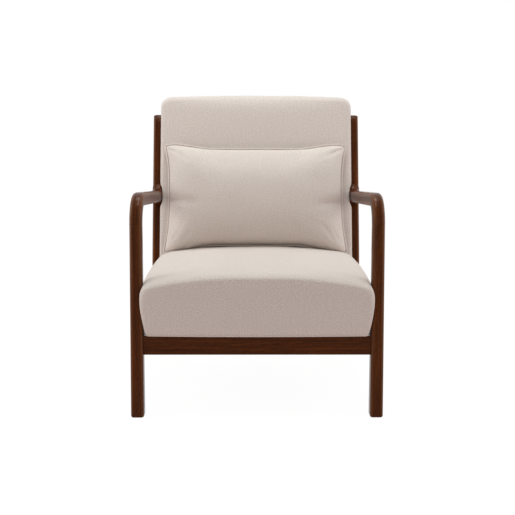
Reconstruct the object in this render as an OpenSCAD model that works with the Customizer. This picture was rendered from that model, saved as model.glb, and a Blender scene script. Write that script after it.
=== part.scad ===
// Upholstered lounge armchair. Two solid-wood side frames, each a raked front leg, a bent
// armrest and a boomerang rear leg, carry a sprung seat, a leaning padded back and a loose
// lumbar pillow. Millimetres, floor at z = 0, the front faces -Y, and x = 0 is the middle.
// Left and right are as seen from the front, so the left pieces lie at -x.

/* [Front legs and armrests] */
// Width over the two side frames
chair_w = 684; // [650:1:740]
// Front leg's width at the foot, seen from the front
leg_foot_w = 35.5; // [33:0.5:38]
// Thickness of the armrest, and of the leg where they join
arm_t = 33.5; // [31:0.5:36]
// Front leg's depth at the foot, seen from the side
leg_foot_d = 40; // [36:1:46]
// Height of the armrest's section, and depth of the leg's top
arm_h = 38; // [34:1:42]
// Lean of the front leg, foot forward, in degrees
leg_lean = 4.6; // [3:0.1:6]
// Height of the armrest's top line above the leg's front
arm_z = 608; // [580:1:640]
// Slope of the armrest down to the back, in degrees
arm_slope = 4.2; // [2:0.1:6]
// Radius of the armrest's bend, at the middle of its section
bend_r = 66; // [54:1:78]
// Edge rounding of the leg at the foot
leg_edge_r = 8; // [6:0.5:10]
// Edge rounding of the armrest
arm_edge_r = 12; // [9:0.5:14]
// Rounding of the legs' lower edges and of the uprights' top edges
end_round = 5; // [3:0.5:6]

/* [Rear legs] */
// Width of a rear leg, seen from the front
rear_w = 36; // [33:0.5:38]
// Place of the knee behind the front leg
knee_y = 533; // [515:1:555]
// Height of the knee
knee_z = 296; // [280:1:310]
// Bend radius at the knee
knee_r = 260; // [200:5:300]
// Lean of the upright above the knee, in degrees
upright_lean = 13.1; // [10:0.1:15]
// Backward kick of the leg below the knee, in degrees
rear_kick = 17.8; // [15:0.1:20]
// Height of the upright's top
upright_z = 814; // [780:1:840]
// Depth of the rear leg at the foot
rear_foot_d = 34; // [30:1:40]
// Depth of the rear leg at the knee
knee_d = 57; // [52:1:62]
// Depth of the upright at its top
upright_top_d = 33; // [30:1:38]
// Edge rounding of the rear leg
rear_edge_r = 9; // [7:0.5:11]
// Fillet above the armrest's end, where it meets the upright
fillet_top = 34; // [24:1:40]
// Fillet below the armrest's end
fillet_low = 12; // [8:1:18]

/* [Rails, cleats and blocks] */
// Height of the rails' top above the floor, which carries the seat
rail_z = 223; // [205:1:235]
// Height of the rails' section
rail_h = 53; // [46:1:58]
// Thickness of the rails
rail_t = 24; // [20:1:28]
// Front rail's face behind the legs' front
rail_setback = 12; // [8:1:14]
// Edge rounding of the rails
rail_edge_r = 3; // [1:0.5:5]
// Width of the cleats along the side rails
cleat_w = 34; // [30:1:38]
// Height of the cleats
cleat_h = 26; // [20:1:32]
// Short sides of the triangular corner blocks
block_leg = 46; // [40:1:56]
// Thickness of the corner blocks
block_t = 24; // [18:1:30]

/* [Dowels, screws and glides] */
// Dowel diameter
dowel_d = 8; // [6:1:10]
// Dowel length
dowel_l = 28; // [24:1:30]
// Distance between the two dowels of a rail joint
dowel_pitch = 24; // [20:1:26]
// Distance between the two dowels of an armrest joint
arm_dowel_pitch = 16; // [12:1:18]
// Screw shank diameter
screw_d = 4; // [3:0.5:5]
// Screw head diameter
screw_head_d = 8; // [7:0.5:9]
// Screw head height
screw_head_h = 2.6; // [2:0.2:3.4]
// Depth of a screw in the wood that it bites
screw_bite = 14; // [10:1:16]
// Steel pin that hangs the back on an upright: diameter
pin_d = 8; // [6:1:9]
// Depth of the pin in the upright, and in the back's stile
pin_bite = 16; // [12:1:20]
// Glide diameter
glide_d = 22; // [18:1:24]
// Glide height below the wood
glide_h = 1.6; // [1:0.2:3]
// Diameter of the glide's nail
nail_d = 3; // [2:0.5:4]
// Length of the glide's nail in the wood
nail_l = 14; // [10:1:20]

/* [Seat] */
// How far the seat's sides puff past the front legs' inner faces
seat_puff = 10.5; // [6:0.5:14]
// Height of the seat's crown above the rails
seat_h = 181; // [170:1:200]
// How far the seat's front corners stand ahead of the armrest corner's front
seat_front = 39; // [36:1:44]
// Extra bulge of the seat's front at the middle
seat_bow = 7; // [2:1:10]
// Fall of the crown to the side seams
seat_side_fall = 27; // [20:1:40]
// Fall of the crown at the rolled front
seat_front_fall = 25; // [18:1:36]
// Gentle slope of the crown from its middle to the front
seat_front_slope = 12; // [6:1:16]
// Gentle slope of the crown from its middle to the rear
seat_rear_slope = 8; // [4:1:14]
// Fall of the crown at the rear edge, behind the pillow
seat_rear_fall = 14; // [8:1:20]
// Drawing-in of the seat's sides at the bottom edge
seat_tuck = 17; // [14:1:22]
// Height of the seat frame's boards
board_h = 56; // [48:1:62]
// Thickness of the seat frame's boards
board_t = 22; // [18:1:26]
// Number of sinuous springs
spring_count = 5; // [3:1:6]
// Number of bends in each spring
spring_bends = 13; // [9:2:17]
// Thickness of the spring wire
wire_d = 3.8; // [3:0.2:4.4]
// Felt between the springs and the foam
felt_t = 4; // [3:0.5:6]

/* [Back] */
// Clearance between the back's sides and the uprights
back_clear = 1; // [0.5:0.5:3]
// How far the back's edges puff over the uprights' fronts
back_puff = 10; // [6:0.5:13]
// Height of the back's top edge above the floor
back_z = 871.5; // [850:1:895]
// Height of the back's lower edge above the rails
back_lift = 12; // [11:1:24]
// Depth of the back behind the uprights' front
back_behind = 44; // [40:1:50]
// Front seam ahead of the uprights' front
back_seam = 25; // [22:1:29]
// Swell of the back's front past the seam
back_crown = 20; // [14:1:24]
// Corner rounding of the back's outline
back_corner_r = 20; // [14:1:26]
// Thickness of the back frame's wood
stile_t = 22; // [18:1:24]
// Width of the back frame's stiles and rails
stile_w = 40; // [34:1:50]
// Height of the lower pins above the back's lower edge
pin_low = 200; // [160:5:240]
// Depth of the upper pins below the back's top edge
pin_top = 150; // [120:5:190]
// Number of elastic webbing straps
strap_count = 5; // [3:1:6]
// Width of a strap
strap_w = 50; // [40:1:60]

/* [Lumbar pillow] */
// Clearance between the pillow's corners and the armrests it lifts out between
pillow_clear = 2; // [1.5:0.5:20]
// Height over the pillow's corners, along the back
pillow_h = 336; // [300:1:350]
// Drawing-in of the short edges between the corners
pillow_in_x = 22; // [12:1:28]
// Drawing-in of the top edge between the corners
pillow_in_top = 14; // [6:1:18]
// Drawing-in of the lower edge between the corners
pillow_in_low = 8; // [3:1:12]
// Swell of the pillow's front
pillow_front = 80; // [60:1:90]
// Swell of the pillow's rear, flattened against the back
pillow_rear = 22; // [16:1:28]
// Diameter of the self-covered welt in the pillow's seam
welt_d = 6; // [4:0.5:7]
// Sideways offset of the pillow as it stands
pillow_x = -3.5; // [-4:0.5:4]

/* [Upholstery] */
// Wall of the covers: fabric with its lining
cover_t = 2.5; // [2:0.5:3.5]
// Wadding under the covers' crowns
wadding_t = 3; // [2:0.5:4]
// Clearance of soft pieces
gap = 0.4; // [0.3:0.1:0.6]

/* [Hidden] */
wood = "#4a2613";
pale_wood = "#d9b98a";
fabric = "#cfc2b8";
steel = "#8c9095";
felt = "#6d6a66";
foam = "#efe6c8";
black = "#1d1d1f";
$fn = 24;
LEFT = -1;
RIGHT = 1;

// Points in each rounded corner of a wooden section
corner_n = 5;
// Clearance of a bore round its dowel, screw or pin, and of the holes through soft pieces
bore_slack = 0.05;
cover_slack = 0.3;
// Middle planes of the rear leg and rails, and of the armrest: their outer faces are flush
side_x = chair_w / 2 - rear_w / 2;
arm_x = chair_w / 2 - arm_t / 2;
rear_inner = side_x - rear_w / 2;
seat_w = 2 * (chair_w / 2 - leg_foot_w + seat_puff);
back_w = 2 * (rear_inner - back_clear);
back_puff_w = back_w + 2 * back_puff;
pillow_w = 2 * (arm_x - arm_t / 2 - pillow_clear - abs(pillow_x));

function smooth(t) = let (u = min(1, max(0, t))) u * u * (3 - 2 * u);
function spread(a, b, n) = [for (i = [0:n - 1]) a + (b - a) * i / (n - 1)];
function round_rect(hx, hy, r) = [for (c = [0:3], a = spread(90 * c, 90 * c + 90, corner_n))
  [(c == 0 || c == 3 ? hx - r : r - hx) + r * cos(a), (c < 2 ? hy - r : r - hy) + r * sin(a)]];
// A closed outline from its half on the +x side, which starts and ends on x = 0
function both_halves(half) = concat(half, [for (i = [len(half) - 2:-1:1]) let (p = half[i])
  len(p) == 2 ? [-p[0], p[1]] : [-p[0], p[1], p[2]]]);

// Closed solid through rings of equal counts that run the same way round, low ring first
module loft(rings, flip = false) {
  n = len(rings[0]);
  m = len(rings);
  mid = n * m;
  points = concat([for (r = rings) each r], [ring_middle(rings[0]), ring_middle(rings[m - 1])]);
  low = [for (j = [0:n - 1]) [mid, j, (j + 1) % n]];
  high = [for (j = [0:n - 1]) [mid + 1, mid - n + (j + 1) % n, mid - n + j]];
  walls = [for (i = [0:m - 2], j = [0:n - 1]) let (a = i * n + j, b = i * n + (j + 1) % n)
    each [[a, a + n, b], [b, a + n, b + n]]];
  faces = concat(low, walls, high);
  polyhedron(points, flip ? [for (f = faces) [f[0], f[2], f[1]]] : faces, convexity = 6);
}
function ring_middle(r) = [for (k = [0:2])
  (min([for (p = r) p[k]]) + max([for (p = r) p[k]])) / 2];

// Rounded rectangle drawn with true arcs, for rails
module rounded_section(w, h, r) {
  square([w - 2 * r, h], center = true);
  square([w, h - 2 * r], center = true);
  for (x = [-1, 1], y = [-1, 1])
    translate([x * (w / 2 - r), y * (h / 2 - r)]) circle(r);
}

// Middle line of the side frame. The armrest's line meets the leg's in a corner that the
// bend rounds off; points are [y, z], with y = 0 at the leg's front at that corner.
leg_dir = [sin(leg_lean), cos(leg_lean)];
arm_dir = [cos(arm_slope), -sin(arm_slope)];
arm_corner = [arm_h / 2, arm_z - arm_h / 2 / cos(arm_slope) - arm_h / 2 * tan(arm_slope)];
bend_turn = 90 + arm_slope - leg_lean;
bend_run = bend_r * tan(bend_turn / 2);
bend_start = arm_corner - bend_run * leg_dir;
bend_centre = bend_start + bend_r * [cos(leg_lean), -sin(leg_lean)];
arm_start = arm_corner + bend_run * arm_dir;

// Front leg by height above the floor
function leg_share(z) = z / bend_start[1];
function leg_y(z) = arm_corner[0] - (arm_corner[1] - z) * tan(leg_lean);
function leg_w(z) = leg_foot_w + (arm_t - leg_foot_w) * leg_share(z);
function leg_d(z) = leg_foot_d + (arm_h - leg_foot_d) * leg_share(z);
function leg_r(z) = leg_edge_r + (arm_edge_r - leg_edge_r) * leg_share(z);
function leg_front(z) = leg_y(z) - leg_d(z) / 2;
function leg_back(z) = leg_y(z) + leg_d(z) / 2;
function leg_x(z) = chair_w / 2 - leg_w(z) / 2;
function leg_inner(z) = leg_x(z) - leg_w(z) / 2;

// Rear leg: a straight leg, a knee arc and a straight upright, by distance s from the foot
knee = [knee_y, knee_z];
low_dir = [-sin(rear_kick), cos(rear_kick)];
up_dir = [sin(upright_lean), cos(upright_lean)];
knee_turn = upright_lean + rear_kick;
knee_run = knee_r * tan(knee_turn / 2);
low_len = (knee_z - glide_h) / cos(rear_kick) - knee_run;
arc_len = knee_r * knee_turn * PI / 180;
up_len = (upright_z - knee_z - upright_top_d / 2 * sin(upright_lean)) / cos(upright_lean) - knee_run;
rear_len = low_len + arc_len + up_len;
arc_start = knee - knee_run * low_dir;
arc_centre = arc_start + knee_r * [cos(rear_kick), sin(rear_kick)];
function rear_angle(s) = s < low_len ? -rear_kick
  : min(upright_lean, (s - low_len) / knee_r * 180 / PI - rear_kick);
function rear_point(s) = let (a = rear_angle(s)) s < low_len ? arc_start - (low_len - s) * low_dir
  : s > low_len + arc_len ? knee + (knee_run + s - low_len - arc_len) * up_dir
  : arc_centre - knee_r * [cos(a), -sin(a)];
function rear_d(s) = let (k = low_len + arc_len / 2) s < k
  ? rear_foot_d + (knee_d - rear_foot_d) * smooth(s / k)
  : knee_d + (upright_top_d - knee_d) * (s - k) / (rear_len - k);
function upright_s(z) = low_len + arc_len + (z - knee_z) / cos(upright_lean) - knee_run;
function low_s(z) = (z - glide_h) / cos(rear_kick);
function upright_front(z) = knee_y + (z - knee_z) * tan(upright_lean)
  - rear_d(upright_s(z)) / 2 / cos(upright_lean);
function rear_low_y(z) = knee_y + (knee_z - z) * tan(rear_kick);
function rear_low_front(z) = rear_low_y(z) - rear_d(low_s(z)) / 2 / cos(rear_kick);

// The back lies along the uprights' front line; s runs up that line and n stands out of it
base_z = knee_z + 52;
back_lean = atan((upright_front(upright_z) - upright_front(base_z)) / (upright_z - base_z));
back_up = [sin(back_lean), cos(back_lean)];
back_out = [-cos(back_lean), sin(back_lean)];
function back_at(x, s, n) = [x, upright_front(base_z) + s * back_up[0] + n * back_out[0],
  base_z + s * back_up[1] + n * back_out[1]];
function back_s(z, n) = (z - base_z - n * back_out[1]) / back_up[1];
module in_back() translate([0, upright_front(base_z), base_z]) rotate([-back_lean, 0, 0]) children();

// Where the armrest's middle line meets the upright's, by distance along the armrest
crossing = arm_dir[0] * up_dir[1] - arm_dir[1] * up_dir[0];
to_knee = knee - arm_start;
arm_len = (to_knee[0] * up_dir[1] - to_knee[1] * up_dir[0]) / crossing;
arm_end = arm_start + arm_len * arm_dir;
face_tilt = back_lean - arm_slope;
arm_free = arm_len - rear_d(upright_s(arm_end[1])) / 2 / cos(face_tilt);
arm_s = back_s(arm_end[1], 0);

// Outer surfaces of the two built-in cushions, which the depth of the chair follows
seat_floor = rail_z + gap;
// Height from the seat's side seam to its crown's edge
wall_drop = 12;
// Middle of the seat's crown, and the height at which its sides are fitted to the front legs
seat_mid_y = 215;
fit_z = rail_z + 100;
// The foam's corners, and how far its lower edge and its upper rear edge draw in
core_r = 16;
core_tuck = 3;
core_slant = 8;
// The back's front lies this far ahead of its seam along its lower edge
back_low_swell = 3;
back_low_n = back_seam + back_low_swell;
function seat_rear(z) = back_at(0, back_s(z, back_low_n), back_low_n + gap)[1];
// The back's front swells from swell_s, behind the seat, over swell_rise
swell_s = 35;
swell_rise = 130;
// How far the back's top edge falls from its middle to the corners, and its lower corners
top_rise = 7;
low_r = 12;
back_top = back_s(back_z, -4);
back_low = back_s(rail_z + back_lift, -back_behind) + 1;
back_mid_s = (back_top + back_low) / 2;
// Rows of the back's edge: n, width, draw of the lower edge and draw of the top edge
back_rows = [[-back_behind, back_w - 10, 5, 8], [4 - back_behind, back_w, 0, 3], [-4, back_w, 0, 0],
  [3.5, (back_w + back_puff_w) / 2 - 1, 0, 0], [back_seam * 0.5, back_puff_w, 0, 1],
  [back_seam * 0.8, back_puff_w - 1, 2, 4], [back_seam, back_puff_w - 7, 4, 8]];
front_y = min(leg_front(glide_h + end_round), -seat_front - seat_bow);
rear_y = max([for (r = back_rings(), p = r) p[1]]);
mid_y = (front_y + rear_y) / 2;
module centred() translate([0, -mid_y, 0]) children();
module on_side(side) mirror([side == LEFT ? 1 : 0, 0, 0]) children();

// FRONT LEG on the +x side, with its lower edge rounded and its top cut square to the bend
function leg_ring(z, inset) = [for (p = round_rect(leg_w(z) / 2 - inset, leg_d(z) / 2 - inset, leg_r(z)))
  [leg_x(z) + p[0], leg_y(z) + p[1], z]];
function bend_ring(angle) = let (c = bend_centre - bend_r * [cos(angle), -sin(angle)])
  [for (p = round_rect(arm_t / 2, arm_h / 2, arm_edge_r))
    [arm_x + p[0], c[0] + p[1] * cos(angle), c[1] - p[1] * sin(angle)]];
module leg_blank() loft([leg_ring(glide_h, end_round * 0.8),
  leg_ring(glide_h + end_round * 0.25, end_round * 0.3), leg_ring(glide_h + end_round, 0),
  leg_ring(bend_start[1] - arm_h / 2, 0), bend_ring(leg_lean)]);
module front_leg() difference() {
  leg_blank();
  front_dowels(bore_slack);
  side_dowels(bore_slack);
  corner_dowels(bore_slack);
  nail(front_foot, 0.05);
}

// ARMREST: the bend, a straight run and an end that flares into fillets on the upright,
// coped to the upright's rounded front
function fillet(r, distance) = let (d = max(distance, r * 0.08))
  d >= r ? 0 : r - sqrt(r * r - (r - d) * (r - d));
function arm_ring(v) = let (d = arm_free - v, tilt = face_tilt * smooth(1 - d / (3 * fillet_top)),
  top = fillet(fillet_top, d), low = fillet(fillet_low, d), c = arm_start + v * arm_dir)
  [for (p = round_rect(arm_t / 2, arm_h / 2, arm_edge_r))
    let (h = -p[1] + (p[1] < 0 ? top : -low), w = h * tan(tilt))
    [arm_x + p[0], c[0] + w * arm_dir[0] - h * arm_dir[1], c[1] + w * arm_dir[1] + h * arm_dir[0]]];
module arm_blank() loft(concat([for (a = spread(leg_lean, leg_lean + bend_turn, 11)) bend_ring(a)],
  [for (k = [3, 2, 1.4, 1, 0.75, 0.5, 0.32, 0.18, 0.08, 0]) arm_ring(arm_free - k * fillet_top)],
  [arm_ring(arm_len)]));
module armrest() difference() {
  arm_blank();
  rear_blank();
  corner_dowels(bore_slack);
  upright_dowels(bore_slack);
}

// REAR LEG: rings square to its middle line, with level and rounded ends
function rear_ring(s, inset) = let (a = rear_angle(s), c = rear_point(s))
  [for (p = round_rect(rear_w / 2 - inset, rear_d(s) / 2 - inset, rear_edge_r))
    [side_x + p[0], c[0] + p[1] * cos(a), c[1] - p[1] * sin(a)]];
function rear_foot_ring(z, inset) =
  [for (p = round_rect(rear_w / 2 - inset, rear_foot_d / 2 - inset, rear_edge_r))
    [side_x + p[0], rear_low_y(z) + p[1] / cos(rear_kick), z]];
module rear_blank() loft(concat(
  [rear_foot_ring(glide_h, end_round * 0.8)],
  [rear_foot_ring(glide_h + end_round * 0.25, end_round * 0.3), rear_foot_ring(glide_h + end_round, 0)],
  [for (s = spread(low_len * 0.25, low_len, 4)) rear_ring(s, 0)],
  [for (s = spread(low_len + arc_len / 8, low_len + arc_len, 8)) rear_ring(s, 0)],
  [for (s = spread(low_len + arc_len + up_len / 4, rear_len - end_round, 4)) rear_ring(s, 0)],
  [rear_ring(rear_len - end_round * 0.25, end_round * 0.3), rear_ring(rear_len, end_round * 0.8)]));
module rear_leg() difference() {
  rear_blank();
  rear_dowels(bore_slack);
  side_dowels(bore_slack);
  upright_dowels(bore_slack);
  hanging_pins(bore_slack);
  nail(rear_foot, 0.05);
}

// RAILS: the two cross rails run into the legs' inner faces, the side rails into front and back
rail_mid = rail_z - rail_h / 2;
front_rail_y = leg_front(rail_mid) + rail_setback + rail_t / 2;
rear_rail_y = rear_low_y(rail_mid);
module cross_rail(y) translate([0, y, rail_mid]) rotate([90, 0, 90])
  linear_extrude(2 * side_x, center = true) rounded_section(rail_t, rail_h, rail_edge_r);
module front_rail() difference() {
  cross_rail(front_rail_y);
  for (side = [LEFT, RIGHT]) on_side(side) {
    leg_blank();
    front_dowels(bore_slack);
  }
  block_screw_set(bore_slack);
}
module rear_rail() difference() {
  cross_rail(rear_rail_y);
  for (side = [LEFT, RIGHT]) on_side(side) {
    rear_blank();
    rear_dowels(bore_slack);
  }
  block_screw_set(bore_slack);
}
module side_rail() difference() {
  translate([side_x, leg_y(rail_mid), rail_mid]) rotate([-90, 0, 0])
    linear_extrude(rear_rail_y - leg_y(rail_mid)) rounded_section(rail_t, rail_h, rail_edge_r);
  leg_blank();
  rear_blank();
  side_dowels(bore_slack);
  cleat_screw_row(bore_slack);
}

// CLEATS along the side rails' inner faces, which carry the seat and the back's lower edge
cleat_x = side_x - rail_t / 2 - cleat_w;
cleat_front = leg_back(rail_z) + gap;
cleat_rear = rear_low_front(rail_z) - gap;
module cleat() difference() {
  translate([cleat_x, cleat_front, rail_z - cleat_h]) cube([cleat_w, cleat_rear - cleat_front, cleat_h]);
  cleat_screw_row(bore_slack);
  seat_screw_row(bore_slack);
  block_screw_set(bore_slack);
}

// CORNER BLOCKS glued into the corners of rails and cleats, with two screws each
block_drop = 3;
front_corner_y = front_rail_y + rail_t / 2;
rear_corner_y = rear_rail_y - rail_t / 2;
block_z = rail_z - block_drop - block_t;
module each_block() for (side = [LEFT, RIGHT]) on_side(side) {
  translate([cleat_x, front_corner_y, 0]) mirror([1, 0, 0]) children();
  translate([cleat_x, rear_corner_y, 0]) mirror([1, 0, 0]) mirror([0, 1, 0]) children();
}
module corner_blocks() difference() {
  each_block() difference() {
    translate([0, 0, block_z]) linear_extrude(block_t) polygon([[0, 0], [block_leg, 0], [0, block_leg]]);
    block_screw_places() translate([0, 0, -screw_head_h]) cylinder(h = block_leg, d = screw_head_d + 1);
  }
  block_screw_set(bore_slack);
}
// Each screw drives along -z of its own frame, with this much of the block under its head
block_wood = 10;
module block_screw_places() translate([0, 0, block_z + block_t / 2]) {
  translate([block_leg * 0.62, block_wood + screw_head_h, 0]) rotate([-90, 0, 0]) children();
  translate([block_wood + screw_head_h, block_leg * 0.62, 0]) rotate([0, 90, 0]) children();
}
module screw(length, slack) translate([0, 0, -screw_head_h]) {
  cylinder(h = screw_head_h, d1 = screw_d + 2 * slack, d2 = screw_head_d);
  translate([0, 0, -length]) cylinder(h = length + 0.01, d = screw_d + 2 * slack);
}
module block_screw_set(slack) each_block() block_screw_places() screw(block_wood + screw_bite, slack);

// DOWELS: each joint's pair lies half in each piece; slack is the bore's clearance
dowel_shift = dowel_d / 2 + 1;
rail_dowel_z = [rail_mid - dowel_pitch / 2, rail_mid + dowel_pitch / 2];
module dowel(slack) cylinder(h = dowel_l + 2 * slack, d = dowel_d + 2 * slack, center = true);
module front_dowels(slack) for (z = rail_dowel_z)
  translate([leg_inner(z), front_rail_y, z - dowel_shift]) rotate([0, 90, 0]) dowel(slack);
module rear_dowels(slack) for (z = rail_dowel_z)
  translate([rear_inner, rear_rail_y, z - dowel_shift]) rotate([0, 90, 0]) dowel(slack);
module side_dowels(slack) for (z = rail_dowel_z) {
  translate([side_x, leg_back(z), z + dowel_shift]) rotate([90, 0, 0]) dowel(slack);
  translate([side_x, rear_low_front(z), z + dowel_shift]) rotate([90, 0, 0]) dowel(slack);
}
arm_joint = arm_start + arm_free * arm_dir;
module corner_dowels(slack) for (x = [-1, 1])
  translate([arm_x + x * arm_dowel_pitch / 2, bend_start[0], bend_start[1]])
    rotate([-leg_lean, 0, 0]) dowel(slack);
module upright_dowels(slack) for (x = [-1, 1])
  translate([arm_x + x * arm_dowel_pitch / 2, arm_joint[0], arm_joint[1]])
    rotate([-90 - arm_slope, 0, 0]) dowel(slack);
module rail_dowels() for (side = [LEFT, RIGHT]) on_side(side) {
  front_dowels(0);
  rear_dowels(0);
  side_dowels(0);
}
module arm_dowels() for (side = [LEFT, RIGHT]) on_side(side) {
  corner_dowels(0);
  upright_dowels(0);
}

// SCREWS through the cleats: sideways into the side rails, and up into the seat frame
cleat_screw_margin = 65;
cleat_screw_y = spread(cleat_front + cleat_screw_margin, cleat_rear - cleat_screw_margin, 4);
module cleat_screw_row(slack) for (y = cleat_screw_y)
  translate([cleat_x, y, rail_z - cleat_h / 2]) rotate([0, -90, 0])
    screw(cleat_w + screw_bite - screw_head_h, slack);
// The seat's frame stands on the cover's lip, above the front rail and the cleats
frame_floor = seat_floor + cover_t + gap;
// Room between the frame's boards and the foam's low edge
frame_room = 3;
frame_x = seat_core_half(0, cover_t + gap, core_tuck)[3][0] - frame_room;
frame_front = front_rail_y - rail_t / 2;
frame_rear = seat_rear(rail_z) - cover_t - gap - frame_room;
frame_top = frame_floor + board_h;
seat_screw_y = [cleat_front + 1.5 * board_t, seat_mid_y, frame_rear - board_t / 2];
seat_screw_x = (max(cleat_x, frame_x - board_t) + frame_x) / 2;
module seat_screw_row(slack) for (y = seat_screw_y)
  translate([seat_screw_x, y, rail_z - cleat_h]) rotate([180, 0, 0])
    screw(cleat_h + gap * 2 + cover_t + screw_bite, slack);

// GLIDES: a low disc under each foot with a nail up into the wood
front_foot = [leg_x(glide_h), leg_y(glide_h), 0];
rear_foot = [side_x, rear_low_y(glide_h), 0];
module nail(foot, slack) translate(foot) cylinder(h = glide_h + nail_l, d = nail_d + 2 * slack);
module foot_glides() for (side = [LEFT, RIGHT], foot = [front_foot, rear_foot]) on_side(side) {
  translate(foot) cylinder(h = glide_h, d = glide_d);
  nail(foot, 0);
}

// SEAT OUTLINE: the front swells, each front corner bulges over the leg's inner edge, and
// the side is pressed in where it passes the leg. k is the share of the height up to the
// seam, and inset is the distance inside the widest outline.
function seat_top(x, y) = let (front_run = seat_front + seat_bow + seat_mid_y,
  rear_run = seat_rear(rail_z + seat_h) - seat_mid_y, a = abs(x) / (seat_w / 2),
  b = max(0, seat_mid_y - y) / front_run, c = max(0, y - seat_mid_y) / rear_run)
  rail_z + seat_h - norm([seat_side_fall * pow(a, 2.4), seat_front_fall * pow(b, 14)])
    - seat_front_slope * b * b - seat_rear_slope * c * c - seat_rear_fall * pow(c, 12);
function seat_wall_z(k, x, y) = seat_floor + k * (seat_top(x, y) - wall_drop - seat_floor);
function leg_arc(z, y, angles) = let (r = leg_r(z))
  [for (a = angles) [leg_inner(z) + r, y] + leg_clear(z) * [cos(a), sin(a)]];
function leg_clear(z) = leg_r(z) + gap + 1;
// Presses a point of the seat's side in where it would touch the leg's rounded inner edges
function beside_leg(p, z) = let (r = leg_r(z), clear = leg_clear(z),
  d = max(leg_front(z) + r - p[1], p[1] - leg_back(z) + r, 0))
  d >= clear ? p : [min(p[0], leg_inner(z) + r - sqrt(clear * clear - d * d)), p[1]];
function seat_half(k, inset, dent) = let (hw = seat_w / 2 - inset, f = -seat_front + inset * 0.6,
  zf = seat_wall_z(k, side_x, leg_front(fit_z)), zb = seat_wall_z(k, side_x, leg_back(fit_z)),
  lf = leg_front(zf), lb = leg_back(zb), r = max(5, lf - 3 - f), far = hw - 2, corner_y = f + r,
  front_arc = leg_arc(zf, lf + leg_r(zf), [265, 240, 212, 185]),
  back_arc = leg_arc(zb, lb - leg_r(zb), [175, 148, 120, 95]),
  side = concat([for (a = [-70, -45, -20, 0]) [hw - r + r * cos(a), corner_y + r * sin(a)]],
    [for (i = [0:3]) [dent ? min(front_arc[i][0], hw) : hw, max(front_arc[i][1], corner_y + i + 1)]],
    [for (p = back_arc) [dent ? min(p[0], hw) : hw, p[1]]],
    [for (p = [[dent ? hw - 3 : hw, 8], [hw, 26], [hw, 110], [hw, 210], [hw, 310]]) [p[0], lb + p[1]]]))
  concat([for (s = [0, 0.25, 0.5, 0.72, 0.88]) [s * (hw - r), f - seat_bow * (1 - s * s)]],
    [for (p = side) dent ? beside_leg(p, p[1] < (lf + lb) / 2 ? zf : zb) : p],
    [for (p = [[0, -60], [-4, -24], [-12, -8], [-28, 0], [-0.3 * far, 0], [-0.6 * far, 0], [-far, 0]])
      [far + p[0], seat_rear(seat_wall_z(k, far + p[0], seat_rear(rail_z + seat_h))) - inset * 0.2 + p[1]]]);
// Rows of the seat's side: share of the height to the seam, and share of the tuck
seat_rows = [[0, 1], [0.05, 0.86], [0.2, 0.58], [0.42, 0.42], [0.66, 0.26], [0.87, 0], [1, 0.12]];
function seat_wall_ring(row) = [for (p = both_halves(seat_half(row[0], seat_tuck * row[1], true)))
  [p[0], p[1], seat_wall_z(row[0], p[0], p[1])]];
function seat_crown_ring(t) = both_halves([for (q = seat_half(1, seat_tuck * 0.12, false))
  let (x = q[0] * t, y = seat_mid_y + (q[1] - seat_mid_y) * t, p = beside_leg([x, y], seat_top(x, y)))
  [p[0], p[1], seat_top(p[0], p[1]) - wall_drop * pow(t, 24)]]);
function seat_rings() = concat([for (row = seat_rows) seat_wall_ring(row)],
  [for (t = [0.975, 0.93, 0.86, 0.75, 0.6, 0.4, 0.2]) seat_crown_ring(t)]);

// Plain rounded outline between two ends, for the hollows and the foam
function plain_half(hw, lo, hi, r) = concat([[0, lo], [hw * 0.5, lo]],
  [for (a = [-90, -45, 0]) [hw - r + r * cos(a), lo + r + r * sin(a)]],
  [for (k = [0.3, 0.5, 0.7]) [hw, lo + (hi - lo) * k]],
  [for (a = [0, 45, 90]) [hw - r + r * cos(a), hi - r + r * sin(a)]], [[hw * 0.5, hi], [0, hi]]);
// The seat's core at a distance skin inside its surface: the cover's hollow, or the foam
function seat_core_half(k, skin, inset) = plain_half(leg_inner(fit_z) - gap - 1 - skin - inset,
  skin - seat_front + inset,
  seat_rear(seat_wall_z(k, 0, seat_rear(rail_z))) - skin - core_slant * k, core_r);
function seat_core_wall(k, skin, inset) = [for (p = both_halves(seat_core_half(k, skin, inset)))
  let (low = seat_floor + skin, high = seat_top(p[0], p[1]) - wall_drop - wadding_t - skin)
  [p[0], p[1], low + k * (high - low)]];
function seat_core_crown(t, skin) = [for (p = both_halves(seat_core_half(1, skin, 0)))
  let (x = p[0] * t, y = seat_mid_y + (p[1] - seat_mid_y) * t)
  [x, y, seat_top(x, y) - wadding_t - skin]];
module seat_core(skin) loft([seat_core_wall(0, skin, core_tuck), seat_core_wall(0.3, skin, 2),
  seat_core_wall(1, skin, 0), seat_core_crown(0.93, skin), seat_core_crown(0.75, skin),
  seat_core_crown(0.5, skin), seat_core_crown(0.25, skin)]);

// SEAT COVER: sewn fabric, open below inside the lip that is stapled under the frame
lip_w = 32;
module seat_opening() translate([-cleat_x + lip_w, front_corner_y + lip_w, 0])
  cube([2 * (cleat_x - lip_w), frame_rear - board_t - lip_w - front_corner_y, frame_floor + 1]);
module seat_cover() difference() {
  loft(seat_rings());
  seat_core(cover_t);
  seat_opening();
  for (side = [LEFT, RIGHT]) on_side(side) seat_screw_row(cover_slack);
}
// The dust cloth is tacked under the lip, between the cleats
cloth_t = 1;
module seat_dust_cover() translate([-cleat_x + gap, front_corner_y + gap, seat_floor - 0.3 - cloth_t])
  cube([2 * (cleat_x - gap), frame_rear - front_corner_y, cloth_t]);

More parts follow.
